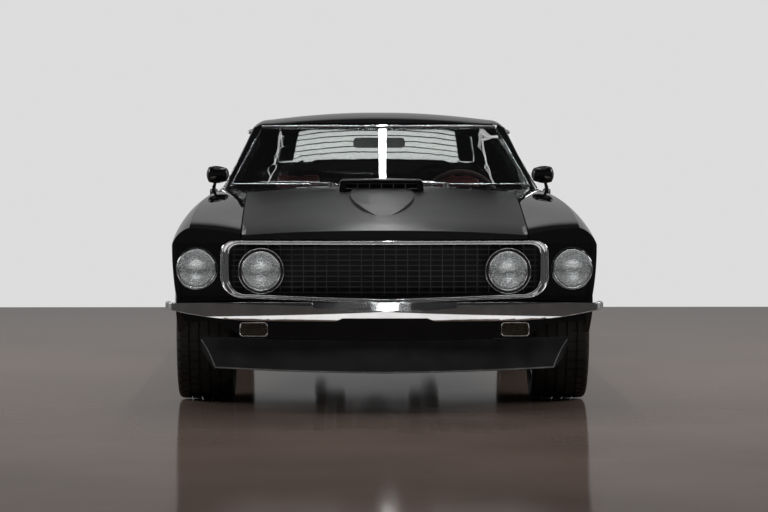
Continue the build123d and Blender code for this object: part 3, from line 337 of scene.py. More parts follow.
def addBump(material, source, height, strength=1.0):
    nodes, links = material.node_tree.nodes, material.node_tree.links
    shader = nodes["Principled BSDF"]
    bump = nodes.new("ShaderNodeBump")
    bump.inputs["Strength"].default_value = strength
    bump.inputs["Distance"].default_value = height
    links.new(source, bump.inputs["Height"])
    if shader.inputs["Normal"].is_linked:
        links.new(shader.inputs["Normal"].links[0].from_socket, bump.inputs["Normal"])
    links.new(bump.outputs[0], shader.inputs["Normal"])


def addRoundEdges(material, radius):
    nodes, links = material.node_tree.nodes, material.node_tree.links
    bevel = nodes.new("ShaderNodeBevel")
    bevel.samples = 4
    bevel.inputs["Radius"].default_value = radius
    links.new(bevel.outputs[0], nodes["Principled BSDF"].inputs["Normal"])


def addSpread(material, source, socket, low, high, start=0.35, end=0.65):
    tree = material.node_tree
    spread = mapped(tree, source, start, end, low, high)
    tree.links.new(spread, tree.nodes["Principled BSDF"].inputs[socket])


def addColours(material, source, colours, start=0.35, end=0.65):
    nodes, links = material.node_tree.nodes, material.node_tree.links
    ramp = nodes.new("ShaderNodeValToRGB")
    elements = ramp.color_ramp.elements
    elements[0].position, elements[1].position = start, end
    elements[0].color, elements[1].color = (*colours[0], 1), (*colours[1], 1)
    links.new(source, ramp.inputs[0])
    links.new(ramp.outputs[0], nodes["Principled BSDF"].inputs["Base Color"])


def floorPaint():
    tone = studio["floorColour"]
    material = newFinish("floor", tone, 0.1, Specular_IOR_Level=0.10, IOR=1.12)
    broad = addNoise(material, 0.9, 6)
    addColours(material, broad.outputs[0], [[c * 0.88 for c in tone], [c * 1.10 for c in tone]])
    addSpread(material, broad.outputs[0], "Roughness", 0.085, 0.115)
    return material


def glossBlack():
    material = newFinish("glossBlack", (0.0035, 0.0035, 0.004), 0.5, Specular_IOR_Level=0.0,
                         Coat_Weight=1.0, Coat_Roughness=0.012)
    addRoundEdges(material, 0.0025)
    flake = addNoise(material, 6.0, 4)
    addColours(material, flake.outputs[0], [(0.003, 0.003, 0.0035), (0.005, 0.005, 0.0055)])
    peel = addNoise(material, 420.0, 2)
    addBump(material, peel.outputs[0], 0.00001, 0.2)
    return material


def satinBlack():
    material = newFinish("satinBlack", (0.006, 0.006, 0.0065), 0.33, Specular_IOR_Level=0.35)
    addRoundEdges(material, 0.0025)
    cloud = addNoise(material, 5.0, 4)
    addColours(material, cloud.outputs[0], [(0.003, 0.003, 0.0035), (0.005, 0.005, 0.0055)])
    addSpread(material, cloud.outputs[0], "Roughness", 0.30, 0.32)
    fine = addNoise(material, 900.0, 2)
    addBump(material, fine.outputs[0], 0.00003, 0.3)
    return material


def chromePlate():
    material = newFinish("chromePlate", (0.80, 0.81, 0.82), 0.05, 1.0)
    addRoundEdges(material, 0.003)
    haze = addNoise(material, 9.0, 5)
    addSpread(material, haze.outputs[0], "Roughness", 0.03, 0.075)
    addColours(material, haze.outputs[0], [(0.76, 0.77, 0.78), (0.86, 0.87, 0.88)])
    return material


def reflector():
    material = newFinish("reflector", (0.86, 0.87, 0.88), 0.22, 1.0)
    facets = addNoise(material, 85.0, 2, (1, 1, 1.6))
    addBump(material, facets.outputs[0], 0.004, 1.0)
    addSpread(material, facets.outputs[0], "Roughness", 0.12, 0.34)
    return material


def matt(name, colour, roughness, grainScale=700.0, height=0.00008, lift=1.5):
    material = newFinish(name, colour, roughness)
    grain = addNoise(material, grainScale, 3)
    addBump(material, grain.outputs[0], height, 0.5)
    cloud = addNoise(material, 14.0, 4)
    addColours(material, cloud.outputs[0], [colour, [min(1, c * lift) for c in colour]])
    addSpread(material, cloud.outputs[0], "Roughness", roughness * 0.88, min(1, roughness * 1.12))
    return material


def steel(name, colour, roughness, grainScale=160.0):
    material = newFinish(name, colour, roughness, 1.0)
    scratch = addNoise(material, grainScale, 4, (1, 1, 0.15))
    addBump(material, scratch.outputs[0], 0.0001, 0.3)
    stain = addNoise(material, 11.0, 6)
    addColours(material, stain.outputs[0], [[c * 0.6 for c in colour], colour])
    addSpread(material, stain.outputs[0], "Roughness", roughness * 0.8, roughness * 1.3)
    return material


def glassPane(name, colour):
    material = newFinish(name, colour, 0.0, Transmission_Weight=1.0, IOR=1.45)
    ripple = addNoise(material, 2.5, 2)
    addBump(material, ripple.outputs[0], 0.0001, 0.03)
    return material


def lensGlass(name, colour, roughness=0.02, scale=120.0, height=0.0003):
    material = newFinish(name, colour, roughness, Transmission_Weight=1.0, IOR=1.5)
    ripple = addNoise(material, scale, 2)
    addBump(material, ripple.outputs[0], height, 0.3)
    return material


def rubber():
    material = newFinish("rubber", (0.020, 0.020, 0.019), 0.62, Specular_IOR_Level=0.5)
    dust = addNoise(material, 22.0, 5)
    addColours(material, dust.outputs[0], [(0.016, 0.016, 0.015), (0.032, 0.031, 0.028)])
    addSpread(material, dust.outputs[0], "Roughness", 0.5, 0.72)
    grain = addNoise(material, 500.0, 3)
    addBump(material, grain.outputs[0], 0.0002, 0.35)
    return material


def leather():
    material = newFinish("leather", (0.13, 0.016, 0.018), 0.42, Specular_IOR_Level=0.45)
    nodes, links = material.node_tree.nodes, material.node_tree.links
    wear = addNoise(material, 7.0, 5)
    addColours(material, wear.outputs[0], [(0.085, 0.010, 0.012), (0.15, 0.020, 0.022)])
    addSpread(material, wear.outputs[0], "Roughness", 0.36, 0.52)
    pores = nodes.new("ShaderNodeTexVoronoi")
    pores.inputs["Scale"].default_value = 420.0
    coordinate = nodes.new("ShaderNodeTexCoord")
    links.new(coordinate.outputs["Object"], pores.inputs["Vector"])
    addBump(material, pores.outputs["Distance"], 0.0003, 0.4)
    return material


finishes = {
    "body_paint": glossBlack(),
    "hood_paint": satinBlack(),
    "underbody_paint": matt("underseal", (0.010, 0.010, 0.010), 0.6, 300.0, 0.0005),
    "spoiler": matt("spoilerBlack", (0.006, 0.006, 0.006), 0.42, 600.0, 0.00004),
    "grille_black": matt("grilleBlack", (0.006, 0.006, 0.0065), 0.34),
    "chrome": chromePlate(),
    "lamp_glass": lensGlass("lampGlass", (0.95, 0.97, 0.97), 0.0, 60.0, 0.0006),
    "amber_lens": lensGlass("amberLens", (0.95, 0.80, 0.55), 0.1, 300.0),
    "red_lens": lensGlass("redLens", (0.55, 0.01, 0.01), 0.1, 300.0),
    "clear_glass": glassPane("windowGlass", (0.97, 1.0, 0.985)),
    "louvre_black": matt("louvreBlack", (0.010, 0.010, 0.010), 0.4),
    "wiper": steel("wiperSteel", (0.55, 0.55, 0.56), 0.2),
    "mirror_black": matt("mirrorBlack", (0.005, 0.005, 0.0055), 0.08, 500.0, 0.000005, 1.2),
    "interior_plastic": matt("trimPlastic", (0.022, 0.006, 0.007), 0.5),
    "seat": leather(),
    "engine_metal": matt("castIron", (0.05, 0.05, 0.052), 0.55, 250.0, 0.0006, 1.8),
    "bare_steel": steel("bareSteel", (0.26, 0.26, 0.27), 0.38),
    "wheel_alloy": steel("wheelAlloy", (0.55, 0.56, 0.57), 0.22),
    "tyre": rubber(),
    "reflector": reflector(),
    # pale grey on the grille bars' front edges: a painted highlight
    "bar_highlight_paint": matt("barHighlightPaint", (0.11, 0.11, 0.11), 0.3),
    # pale grey on the scoop grid's front edges: a painted highlight
    "scoop_highlight_paint": matt("scoopHighlightPaint", (0.30, 0.30, 0.30), 0.3),
    "dial": matt("dialFace", (0.5, 0.5, 0.48), 0.4),
    "reflector_flat": newFinish("mirrorGlass", (0.8, 0.82, 0.82), 0.02, 1.0),
    # pale grey on the spoiler's black rolled edge: a painted highlight
    "lip_highlight_paint": matt("lipHighlightPaint", (0.16, 0.16, 0.16), 0.25),
}
# new finishes and the record's slots they come under
dressedAs = {"rear_view_mirror": "chrome", "seats": "interior_plastic"}


def dressNodes():
    slots = {part["node"]: part["material_slot"] for part in frame["record"]["subparts"]}
    for name, node in frame["nodes"].items():
        node.data.materials.clear()
        node.data.materials.append(finishes[dressedAs.get(name, slots[name])])


# Front lamps

headlamp = {
    "lens": 0.0765,
    "dome": 0.012,
    "thick": 0.004,
    "rings": 26,
    "steps": 96,
    "flutes": 0.0095,
    "fluteDepth": 0.0011,
    "fluteRows": 0.023,
    "fluteSway": 0.019,
    "plainRim": 0.97,
    "bowl": 0.052,
    "bowlFront": 0.019,
    "bowlWall": 0.005,
    "bowlSteps": 12,
    "ringOut": 0.0835,
    "ringFront": 0.006,
    "ringBack": 0.034,
    "wire": 0.0016,
    "outer": (0.788, -2.240, 0.609),
    "inner": (0.516, -2.262, 0.600),
    # radius of the thin ring round each lamp and how far forward it lies
    "outerWire": (0.0875, -2.2065),
    "innerWire": (0.0945, -2.2575),
}


def lensMesh(place):
    lens, dome, count, plain = headlamp["lens"], headlamp["dome"], headlamp["rings"], headlamp["plainRim"]
    profile = [(dome * (i / count) ** 2, lens * i / count) for i in range(count + 1)]
    bm = turned(profile, (0, 0, 0), "y", headlamp["steps"])
    for vert in bm.verts:
        edge = hypot(vert.co.x, vert.co.z) / lens
        if edge < plain:
            row = 1 + 0.5 * sin(vert.co.z / headlamp["fluteRows"] * pi)
            sway = 0.25 * sin(vert.co.z / headlamp["fluteSway"])
            wave = cos(2 * pi * (vert.co.x / headlamp["flutes"] + sway))
            vert.co.y += headlamp["fluteDepth"] * wave * row * min(1, (plain - edge) * 8)
    inner = bmesh.ops.duplicate(bm, geom=bm.verts[:] + bm.edges[:] + bm.faces[:])
    for vert in [item for item in inner["geom"] if isinstance(item, bmesh.types.BMVert)]:
        vert.co.y = headlamp["thick"] + dome * (hypot(vert.co.x, vert.co.z) / lens) ** 2
    bmesh.ops.bridge_loops(bm, edges=[edge for edge in bm.edges if edge.is_boundary])
    bmesh.ops.recalc_face_normals(bm, faces=bm.faces)
    bmesh.ops.translate(bm, verts=bm.verts, vec=place)
    return bm


def bowlMesh(place):
    lens, depth, front = headlamp["lens"], headlamp["bowl"], headlamp["bowlFront"]
    back, rim = front + headlamp["bowlWall"], headlamp["lens"] - 0.0005
    profile = [(front - 0.002, rim)]
    for i in range(headlamp["bowlSteps"]):
        radius = (lens - 0.003) * (1 - i / (headlamp["bowlSteps"] - 0.5))
        profile.append((front + depth * (1 - (radius / lens) ** 2), radius))
    profile += [(front + depth, 0), (back + depth, 0), (back + depth / 2, lens * 0.75), (back, rim)]
    return turned(profile, place, "y", 64, True)


def ringMesh(place, inside, outside):
    half = (outside - inside) / 2
    front, back = headlamp["ringFront"], headlamp["ringBack"]
    profile = [(back, inside), (front * 2, inside)]
    for i in range(9):
        angle = pi * i / 8
        profile.append((front - half * 1.6 * sin(angle), inside + half - half * cos(angle)))
    profile += [(front * 2, outside), (back, outside)]
    return turned(profile, place, "y", headlamp["steps"], True)


def wireRing(place, radius, wire):
    angles = [2 * pi * i / 8 for i in range(8)]
    profile = [(wire * cos(angle), radius + wire * sin(angle)) for angle in angles]
    return turned(profile, place, "y", headlamp["steps"], True)


def buildHeadlamps():
    stands = ("headlamps",)
    for spot in ("outer", "inner"):
        x, y, z = headlamp[spot]
        reach, forward = headlamp[f"{spot}Wire"]
        for side, mark in ((1, "left"), (-1, "right")):
            place = (side * x, y, z)
            name = f"{spot}_lamp_{mark}"
            ring = ringMesh(place, headlamp["lens"], headlamp["ringOut"])
            wire = wireRing((side * x, forward, z), reach, headlamp["wire"])
            addPiece(f"{name}_lens", lensMesh(place), "lamp_glass", "body", stands, 60)
            addPiece(f"{name}_bowl", bowlMesh(place), "reflector", "body")
            addPiece(f"{name}_ring", ring, "chrome", "body", (), 40)
            addPiece(f"{name}_edge", wire, "chrome", "body")
            stands = ()


# Grille surround: a rounded outer bead, a dish and a thin inner lip, with a crisp groove between them

surround = {
    "half": 0.686,
    "top": 0.729,
    "sideBottom": 0.486,
    "centreBottom": 0.466,
    "side": 0.036,
    "bar": 0.018,
    "upperCorner": 0.050,
    "lowerCorner": 0.090,
    "noseLine": -2.312,
    "noseSweep": 4.765,
    "arcSteps": 10,
    "runSteps": 24,
    # share of the way in from the outer edge, and how far back from the nose line
    "section": [
        (0.0, 0.026), (0.0, 0.004), (0.05, 0.0), (0.13, -0.0032), (0.22, -0.0036), (0.30, -0.0010),
        (0.36, 0.005), (0.46, 0.0095), (0.62, 0.0115), (0.76, 0.0095), (0.82, 0.0060),
        (0.88, 0.0048), (0.95, 0.0065), (1.0, 0.011), (1.0, 0.026),
    ],
}


def noseDepth(x):
    sweep = surround["noseSweep"]
    return surround["noseLine"] + sweep - sqrt(sweep**2 - x**2)


def surroundLoop(share, back):
    s = surround
    side, bar = s["side"] * share, s["bar"] * share
    half, top = s["half"] - side, s["top"] - bar
    low, dip = s["sideBottom"] + bar, s["centreBottom"] + bar
    upper, lower = s["upperCorner"] - side * 0.2, s["lowerCorner"] - side / 2
    right = [(0, dip)]
    for i in range(1, s["runSteps"] + 1):
        along = i / s["runSteps"]
        right.append(((half - lower) * along, dip + (low - dip) * along))
    for i in range(1, s["arcSteps"] + 1):
        angle = pi / 2 * i / s["arcSteps"]
        right.append((half - lower + lower * sin(angle), low + lower - lower * cos(angle)))
    for i in range(s["arcSteps"] + 1):
        angle = pi / 2 * i / s["arcSteps"]
        right.append((half - upper + upper * cos(angle), top - upper + upper * sin(angle)))
    for i in range(1, s["runSteps"]):
        right.append(((half - upper) * (1 - i / s["runSteps"]), top))
    right.append((0, top))
    outline = right + [(-x, z) for x, z in reversed(right[1:-1])]
    return [(x, noseDepth(x) + back, z) for x, z in outline]


def buildSurround():
    loops = [surroundLoop(share, back) for share, back in surround["section"]]
    addPiece("grille_surround_moulding", bandMesh(loops), "chrome", "body", ("grille_surround",), 50)


# Painted highlight: thin pale grey strips on the front edges of the grille's black bars, standing in for
# light caught there

bars = {
    "face": -2.2332,
    "columnPitch": 0.0485,
    "rowPitch": 0.0224,
    "columns": 13,
    "rows": 10,
    "wide": 0.0011,
    "deep": 0.0013,
    "columnBack": 0.0018,
    "rowBack": 0.0048,
    "lampClear": 0.0985,
    "sideClear": 0.030,
    "endClear": 0.012,
    "shortest": 0.004,
}


def clearSpans(offset, reach, middle, start, end):
    # the stretches of a bar that a lamp's circle leaves free
    if offset >= reach:
        return [(start, end)]
    cut = sqrt(reach**2 - offset**2)
    return [(start, middle - cut), (middle + cut, end)]


def buildBarHighlights():
    low, high = surround["centreBottom"] + surround["bar"], surround["top"] - surround["bar"]
    half, start = surround["half"] - surround["side"], low + bars["endClear"]
    lampX, _, lampZ = headlamp["inner"]
    reach, wide = bars["lampClear"], bars["wide"] / 2
    bm = bmesh.new()
    near = bars["face"] + bars["columnBack"]
    for i in range(-bars["columns"], bars["columns"] + 1):
        x = i * bars["columnPitch"]
        if abs(x) > half - bars["sideClear"]:
            continue
        for z0, z1 in clearSpans(abs(abs(x) - lampX), reach, lampZ, start, high):
            blockMesh((x - wide, near, z0), (x + wide, near + bars["deep"], z1), 0, into=bm)
    near = bars["face"] + bars["rowBack"]
    for i in range(1, bars["rows"] + 1):
        z = high - i * bars["rowPitch"]
        if z < start:
            continue
        for x0, x1 in clearSpans(abs(z - lampZ), reach, lampX, 0, half - bars["endClear"]):
            for side in (-1, 1):
                if x1 - x0 > bars["shortest"]:
                    ends = sorted((side * x0, side * x1))
                    blockMesh((ends[0], near, z - wide), (ends[1], near + bars["deep"], z + wide), 0, into=bm)
    # the strips are coloured pale as a painted highlight on the black bars
    addPiece("painted_grille_highlights", bm, "bar_highlight_paint", "body", (), None)


# A pale grey strip on the front edge of each bar of the scoop's grid: a painted highlight

scoop = {
    "half": 0.162,
    "columns": 6,
    "rows": (0.9266, 0.9476),
    "low": 0.901,
    "high": 0.951,
    "face": -1.152,
    "wide": 0.0020,
    "proud": 0.0008,
    "sunk": 0.0004,
    "rowDeep": 0.0006,
}


def buildScoopGridHighlights():
    bm = bmesh.new()
    half, wide = scoop["half"], scoop["wide"] / 2
    near, far = scoop["face"] - scoop["proud"], scoop["face"] + scoop["sunk"]
    for i in range(1, scoop["columns"]):
        x = -half + 2 * half * i / scoop["columns"]
        blockMesh((x - wide, near, scoop["low"]), (x + wide, far, scoop["high"]), 0, into=bm)
    for z in scoop["rows"]:
        blockMesh((-half, near - scoop["rowDeep"], z - wide), (half, near, z + wide), 0, into=bm)
    # the strips are coloured pale as a painted highlight
    addPiece("scoop_grid_highlights", bm, "scoop_highlight_paint", "hood", (), None)


# Bright mouldings round the glass and along the roof

# each edge of the windshield: middle, half width, place of its ends and height
glassEdge = {
    "foot": (-0.842, 0.708, -0.700, 0.900),
    "head": (-0.226, 0.562, -0.176, 1.207),
    "outwards": (0, -0.45, 0.89),
    "lift": 0.0035,
    "steps": 28,
    "sideSteps": 12,
    "footShare": (0.985, 0.115),
    "sideShare": 1.004,
}
trim = {"head": 0.0065, "side": 0.0050, "foot": 0.0045, "drip": 0.0042}
drip = {
    "start": -0.165,
    "length": 0.80,
    "steps": 24,
    "crest": 0.13,
    # height at the crest's near side, fall from there and how far along
    "ahead": (1.1965, 0.0220, 0.40),
    "behind": (1.1965, 0.054, 0.57),
    "under": 0.006,
    "outside": 0.9,
    "widest": 0.55,
    "clear": 0.001,
    "pillarTop": (0.6045, -0.172, 1.178),
    "pillarFoot": (0.7395, -0.700, 0.905),
    "pillarSteps": 8,
}


def screenPoint(across, up):
    ends = []
    for middle, half, side, level in (glassEdge["foot"], glassEdge["head"]):
        ends.append(Vector((half * across, middle + (side - middle) * across**2, level)))
    return ends[0].lerp(ends[1], up) + Vector(glassEdge["outwards"]) * glassEdge["lift"]


def dripPath(side):
    path = []
    for i in range(drip["steps"] + 1):
        y = drip["start"] + drip["length"] * i / drip["steps"]
        height, fall, run = drip["ahead" if y < drip["crest"] else "behind"]
        z = height - fall * ((y - drip["crest"]) / run) ** 2 - drip["under"]
        place, normal = surfaceHit("roof", (side * drip["outside"], y, z), (-side, 0, 0))
        if place is not None and abs(place.x) > drip["widest"]:
            path.append(place + normal * drip["clear"])
    return path


def buildGlassTrim():
    steps, sideSteps = glassEdge["steps"], glassEdge["sideSteps"]
    head = [screenPoint(-1 + 2 * i / steps, 1.0) for i in range(steps + 1)]
    addPiece("windshield_head_moulding", rodMesh(head, trim["head"], sides=12), "chrome", "body")
    reach, up = glassEdge["footShare"]
    foot = [screenPoint(-reach + 2 * reach * i / steps, up) for i in range(steps + 1)]
    addPiece("windshield_foot_moulding", rodMesh(foot, trim["foot"], sides=10), "chrome", "body")
    sides, drips = bmesh.new(), bmesh.new()
    for side in (-1, 1):
        path = [screenPoint(side * glassEdge["sideShare"], i / sideSteps) for i in range(1, sideSteps + 1)]
        joinMesh(sides, rodMesh(path, trim["side"], sides=10))
    addPiece("windshield_side_mouldings", sides, "chrome", "body")
    for side in (-1, 1):
        joinMesh(drips, rodMesh(dripPath(side), trim["drip"], sides=8))
        top, foot = [Vector((side * x, y, z)) for x, y, z in (drip["pillarTop"], drip["pillarFoot"])]
        pillar = [top.lerp(foot, i / drip["pillarSteps"]) for i in range(drip["pillarSteps"] + 1)]
        joinMesh(drips, rodMesh(pillar, trim["drip"], sides=8))
    addPiece("drip_mouldings", drips, "chrome", "body")


# Tyres: a rounded shoulder, four grooves round the tread and blocks cut across it

tread = {
    "radius": 0.327,
    "half": 0.1225,
    "seat": 0.216,
    "bead": 0.0984,
    "shoulder": 0.022,
    "crownFall": 0.035,
    "steps": 180,
    "grooves": (-0.066, -0.022, 0.022, 0.066),
    "groovePitch": 0.044,
    "grooveHalf": 0.0045,
    "grooveWall": 0.0015,
    "grooveDeep": 0.008,
    "cutEvery": 4,
    "cutDeep": 0.0035,
    "cutAbove": 0.3165,
    "bore": (0.09, 0.225),
}


def tyreProfile():
    radius, half, seat, bead = tread["radius"], tread["half"], tread["seat"], tread["bead"]
    shoulder, side, wall = tread["shoulder"], tread["grooveHalf"], tread["grooveWall"]
    # bead and sidewall, then the shoulder's arc
    profile = [(-bead, seat), (-bead - 0.004, seat + 0.010)]
    profile += [(-half + 0.010, 0.243), (-half + 0.002, 0.262), (-half, 0.280)]
    for i in range(7):
        angle = radians(15 * i)
        along = -half + shoulder - shoulder * cos(angle) + 0.0005
        profile.append((along, radius - 0.0262 + shoulder * sin(angle)))
    flank = len(profile)
    for groove in tread["grooves"]:
        rise = radius - abs(groove) * tread["crownFall"]
        floor = rise - tread["grooveDeep"]
        profile += [(groove - side, rise), (groove - side + wall, floor)]
        profile += [(groove + side - wall, floor), (groove + side, rise)]
    return profile + [(-x, r) for x, r in reversed(profile[:flank])]


def tyreMesh(place):
    reach, rise = tread["bore"]
    profile = tyreProfile() + [(reach, rise), (-reach, rise)]
    bm = turned(profile, place, "x", tread["steps"], True)
    step = 2 * pi / tread["steps"]
    cuts = []
    for face in bm.faces:
        centre = face.calc_center_median() - Vector(place)
        row = round((centre.x + 0.2) / tread["groovePitch"]) % 2
        column = int((atan2(centre.z, centre.y) + pi) / step + 0.01) + row * 2
        outside = hypot(centre.y, centre.z) > tread["cutAbove"] and abs(face.normal.x) < 0.75
        beside = abs(centre.x) > tread["grooves"][2] + 0.002
        if outside and beside and column % tread["cutEvery"] == 0:
            cuts.append(face)
    made = bmesh.ops.extrude_face_region(bm, geom=cuts)
    for vert in [item for item in made["geom"] if isinstance(item, bmesh.types.BMVert)]:
        arm = vert.co - Vector(place)
        arm.x = 0
        vert.co -= arm.normalized() * tread["cutDeep"]
    bmesh.ops.delete(bm, geom=cuts, context="FACES_ONLY")
    return bm


def buildTyres():
    for corner in ("front_left", "front_right", "rear_left", "rear_right"):
        node, wheel = f"tyre_{corner}", f"wheel_{corner}"
        low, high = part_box(node)
        addPiece(f"{node}_tread", tyreMesh(tuple((low + high) / 2)), "tyre", wheel, (node,), 30)


# Door mirrors: a rounded pod with a glass set in its rear face, on a slanted stalk

podShape = {
    "middle": (0.757, -0.705, 0.984),
    "half": (0.050, 0.036, 0.038),
    "taper": 0.10,
    "roundFront": 0.62,
    "roundRear": 0.42,
    "rim": 0.003,
    "glassRim": 0.0015,
    "glassSunk": 0.003,
    "foot": (0.776, -0.700, 0.908),
    "knee": (-0.001, 0, 0.022),
    "stalkTop": (0.012, 0.0, -0.026),
    "stalk": (0.0105, 0.0085, 0.0072, 0.0085),
    "base": [(-0.03, 0), (-0.03, 0.0185), (0.004, 0.0185), (0.008, 0.0165), (0.010, 0.012), (0.011, 0)],
}


def podMesh(side):
    middle, half = Vector(podShape["middle"]), podShape["half"]
    bm = bmesh.new()
    bmesh.ops.create_cube(bm, size=2)
    bmesh.ops.subdivide_edges(bm, edges=bm.edges[:], cuts=7, use_grid_fill=True)
    for vert in bm.verts:
        ball = podShape["roundRear" if vert.co.y > 0.9 else "roundFront"]
        co = vert.co * (1 - ball) * 0.86 + vert.co.normalized() * ball * 1.18
        tall = 1 + podShape["taper"] * co.x          # the outer end stands a little taller
        vert.co = Vector((co.x * half[0], co.y * half[1], co.z * half[2] * tall))
    facing = [face for face in bm.faces if face.normal.y > 0.9]
    rear = [face for face in facing if face.calc_center_median().y > half[1] * 0.78]
    bmesh.ops.inset_region(bm, faces=rear, thickness=podShape["rim"], depth=0)
    bmesh.ops.inset_region(bm, faces=rear, thickness=podShape["glassRim"], depth=-podShape["glassSunk"])
    bmesh.ops.translate(bm, vec=middle, verts=bm.verts)
    foot = Vector(podShape["foot"])
    top, knee = middle + Vector(podShape["stalkTop"]), foot + Vector(podShape["knee"])
    joinMesh(bm, rodMesh([foot, knee, foot.lerp(top, 0.6), top], podShape["stalk"], sides=14))
    joinMesh(bm, turned(podShape["base"], tuple(foot), "z", 28))
    if side < 0:
        bmesh.ops.scale(bm, vec=(-1, 1, 1), verts=bm.verts)
        bmesh.ops.reverse_faces(bm, faces=bm.faces[:])
    return bm


def buildMirrors():
    rear, deep = podShape["middle"][1], podShape["half"][1]
    for side, mark in ((1, "left"), (-1, "right")):
        name, door, stands = f"mirror_{mark}_pod", f"door_{mark}", (f"mirror_{mark}",)
        piece = addPiece(name, podMesh(side), "mirror_black", door, stands, 50)
        piece.data.materials.append(finishes["reflector_flat"])
        for face in piece.data.polygons:
            flat = face.normal.y > 0.95 and face.area < 2e-4
            if flat and abs(face.center.y - rear - deep * 0.86) < 0.008 and face.center.y < rear + deep:
                face.material_index = 1


# Parking lamps: chrome bezels round the lenses

bezel = {"x": (0.490, 0.605), "z": (0.326, 0.382), "corner": 0.014, "front": -2.2210, "wire": 0.0024}


def buildBezels():
    bm = bmesh.new()
    (x0, x1), (z0, z1), corner, front = bezel["x"], bezel["z"], bezel["corner"], bezel["front"]
    left, right, low, high = x0 + corner, x1 - corner, z0 + corner, z1 - corner
    path = []
    for x, z, start in ((right, high, 0), (left, high, 90), (left, low, 180), (right, low, 270)):
        for i in range(6):
            angle = radians(start + 18 * i)
            path.append((x + corner * cos(angle), front, z + corner * sin(angle)))
    for side in (1, -1):
        joinMesh(bm, rodMesh([(side * x, y, z) for x, y, z in path], bezel["wire"], True, 8))
    addPiece("parking_lamp_bezels", bm, "chrome", "body")


# Chin spoiler: a rolled lower edge on the black spoiler, coloured pale grey as a painted highlight where it
# catches the light

lip = {
    "wire": 0.0035,
    "endWire": 0.0028,
    "inset": 0.004,
    "half": 0.708,
    "low": 0.174,
    "rise": 0.016,
    "steps": 40,
    "endFoot": (0.708, 0.192),
    "endRun": (0.062, 0.116),
    "endBow": 0.010,
    "endSteps": 12,
}


def spoilerPath(points):
    hits = [surfaceHit("chin_spoiler", (x, cadLow[1] - 0.2, z), (0, 1, 0))[0] for x, z in points]
    return [place for place in hits if place is not None]


def buildSpoilerLipHighlight():
    bm = bmesh.new()
    edge = []
    for i in range(-lip["steps"], lip["steps"] + 1):
        x = lip["half"] * i / lip["steps"]
        edge.append((x, lip["low"] + lip["rise"] * (abs(x) / 0.712) ** 1.6 + lip["inset"]))
    joinMesh(bm, rodMesh(spoilerPath(edge), lip["wire"], sides=8))
    (x0, z0), (run, rise) = lip["endFoot"], lip["endRun"]
    for side in (-1, 1):
        end = []
        for i in range(lip["endSteps"] + 1):
            share = i / lip["endSteps"]
            end.append((side * (x0 + run * share), z0 + rise * share + lip["endBow"] * sin(pi * share)))
        path = spoilerPath(end)
        if len(path) > 3:
            joinMesh(bm, rodMesh(path, lip["endWire"], sides=8))
    # the rolled edge is coloured pale as a painted highlight
    addPiece("spoiler_rolled_edge_highlight", bm, "lip_highlight_paint", "body")


# Seats, padded by a cloth simulation

padding = {
    "voxel": 0.007,
    "pressure": 4.0,
    "frames": 20,
    "cap": 0.012,
    "roundness": 0.36,
    "channelDeep": 0.0045,
    "channelHalf": 0.005,
    "channelShare": 0.74,
}
# centre, size, recline in degrees, channel direction and how many channels
pads = {
    "front_cushion": ((0.395, -0.205, 0.336), (0.440, 0.455, 0.130), -4, "y", 6),
    "front_back": ((0.395, 0.085, 0.640), (0.440, 0.105, 0.500), -15, "z", 6),
    "front_rest": ((0.395, 0.187, 0.934), (0.225, 0.046, 0.092), -12, "z", 0),
    "rear_cushion": ((0.0, 0.655, 0.462), (1.010, 0.360, 0.100), -3, "y", 12),
    "rear_back": ((0.0, 0.900, 0.675), (1.010, 0.085, 0.330), -17, "z", 12),
}
# hard parts under a front seat, measured from its middle line, and the box under half the rear bench
shells = {
    "middle": 0.395,
    "runners": ((-0.195, -0.415, 0.223), (0.195, -0.025, 0.262), 0.004),
    "pan": ((-0.215, -0.440, 0.262), (0.215, 0.020, 0.284), 0.008),
    "back": ((-0.222, -0.020, -0.25), (0.222, 0.012, 0.24), 0.010),
    "backPlace": (0.140, 0.630),
    "backTurn": -15,
    "posts": ((-0.05, 0.05), (0.180, 0.86), (0.187, 0.90), 0.006),
    "benchMiddle": 0.345,
    "bench": ((-0.17, 0.50, 0.223), (0.17, 0.858, 0.420), 0.006),
}


def padBlock(size):
    bm = bmesh.new()
    bmesh.ops.create_cube(bm, size=1)
    bmesh.ops.scale(bm, vec=size, verts=bm.verts)
    soften(bm, min(size) * padding["roundness"], 5)
    return bm


def inflate(piece):
    scene = bpy.context.scene
    for other in bpy.context.selected_objects:
        other.select_set(False)
    bpy.context.view_layer.objects.active = piece
    piece.select_set(True)
    remesh = piece.modifiers.new("even", "REMESH")
    remesh.mode = "VOXEL"
    remesh.voxel_size = padding["voxel"]
    bpy.ops.object.modifier_apply(modifier="even")
    rest = [v.co.copy() for v in piece.data.vertices]
    cloth = piece.modifiers.new("pad", "CLOTH")
    cloth.settings.use_pressure = True
    cloth.settings.uniform_pressure_force = padding["pressure"]
    cloth.settings.effector_weights.gravity = 0
    cloth.point_cache.frame_start, cloth.point_cache.frame_end = 1, padding["frames"]
    for number in range(1, padding["frames"] + 1):
        scene.frame_set(number)
    puffed = piece.evaluated_get(bpy.context.evaluated_depsgraph_get()).data
    moved = [v.co.copy() for v in puffed.vertices]
    piece.modifiers.remove(cloth)
    scene.frame_set(1)
    for vert, before, after in zip(piece.data.vertices, rest, moved):
        step = after - before
        vert.co = before + step * min(1, padding["cap"] / max(step.length, 1e-6))
    smooth = piece.modifiers.new("soft", "SUBSURF")
    smooth.levels = smooth.render_levels = 1
    bpy.ops.object.modifier_apply(modifier="soft")


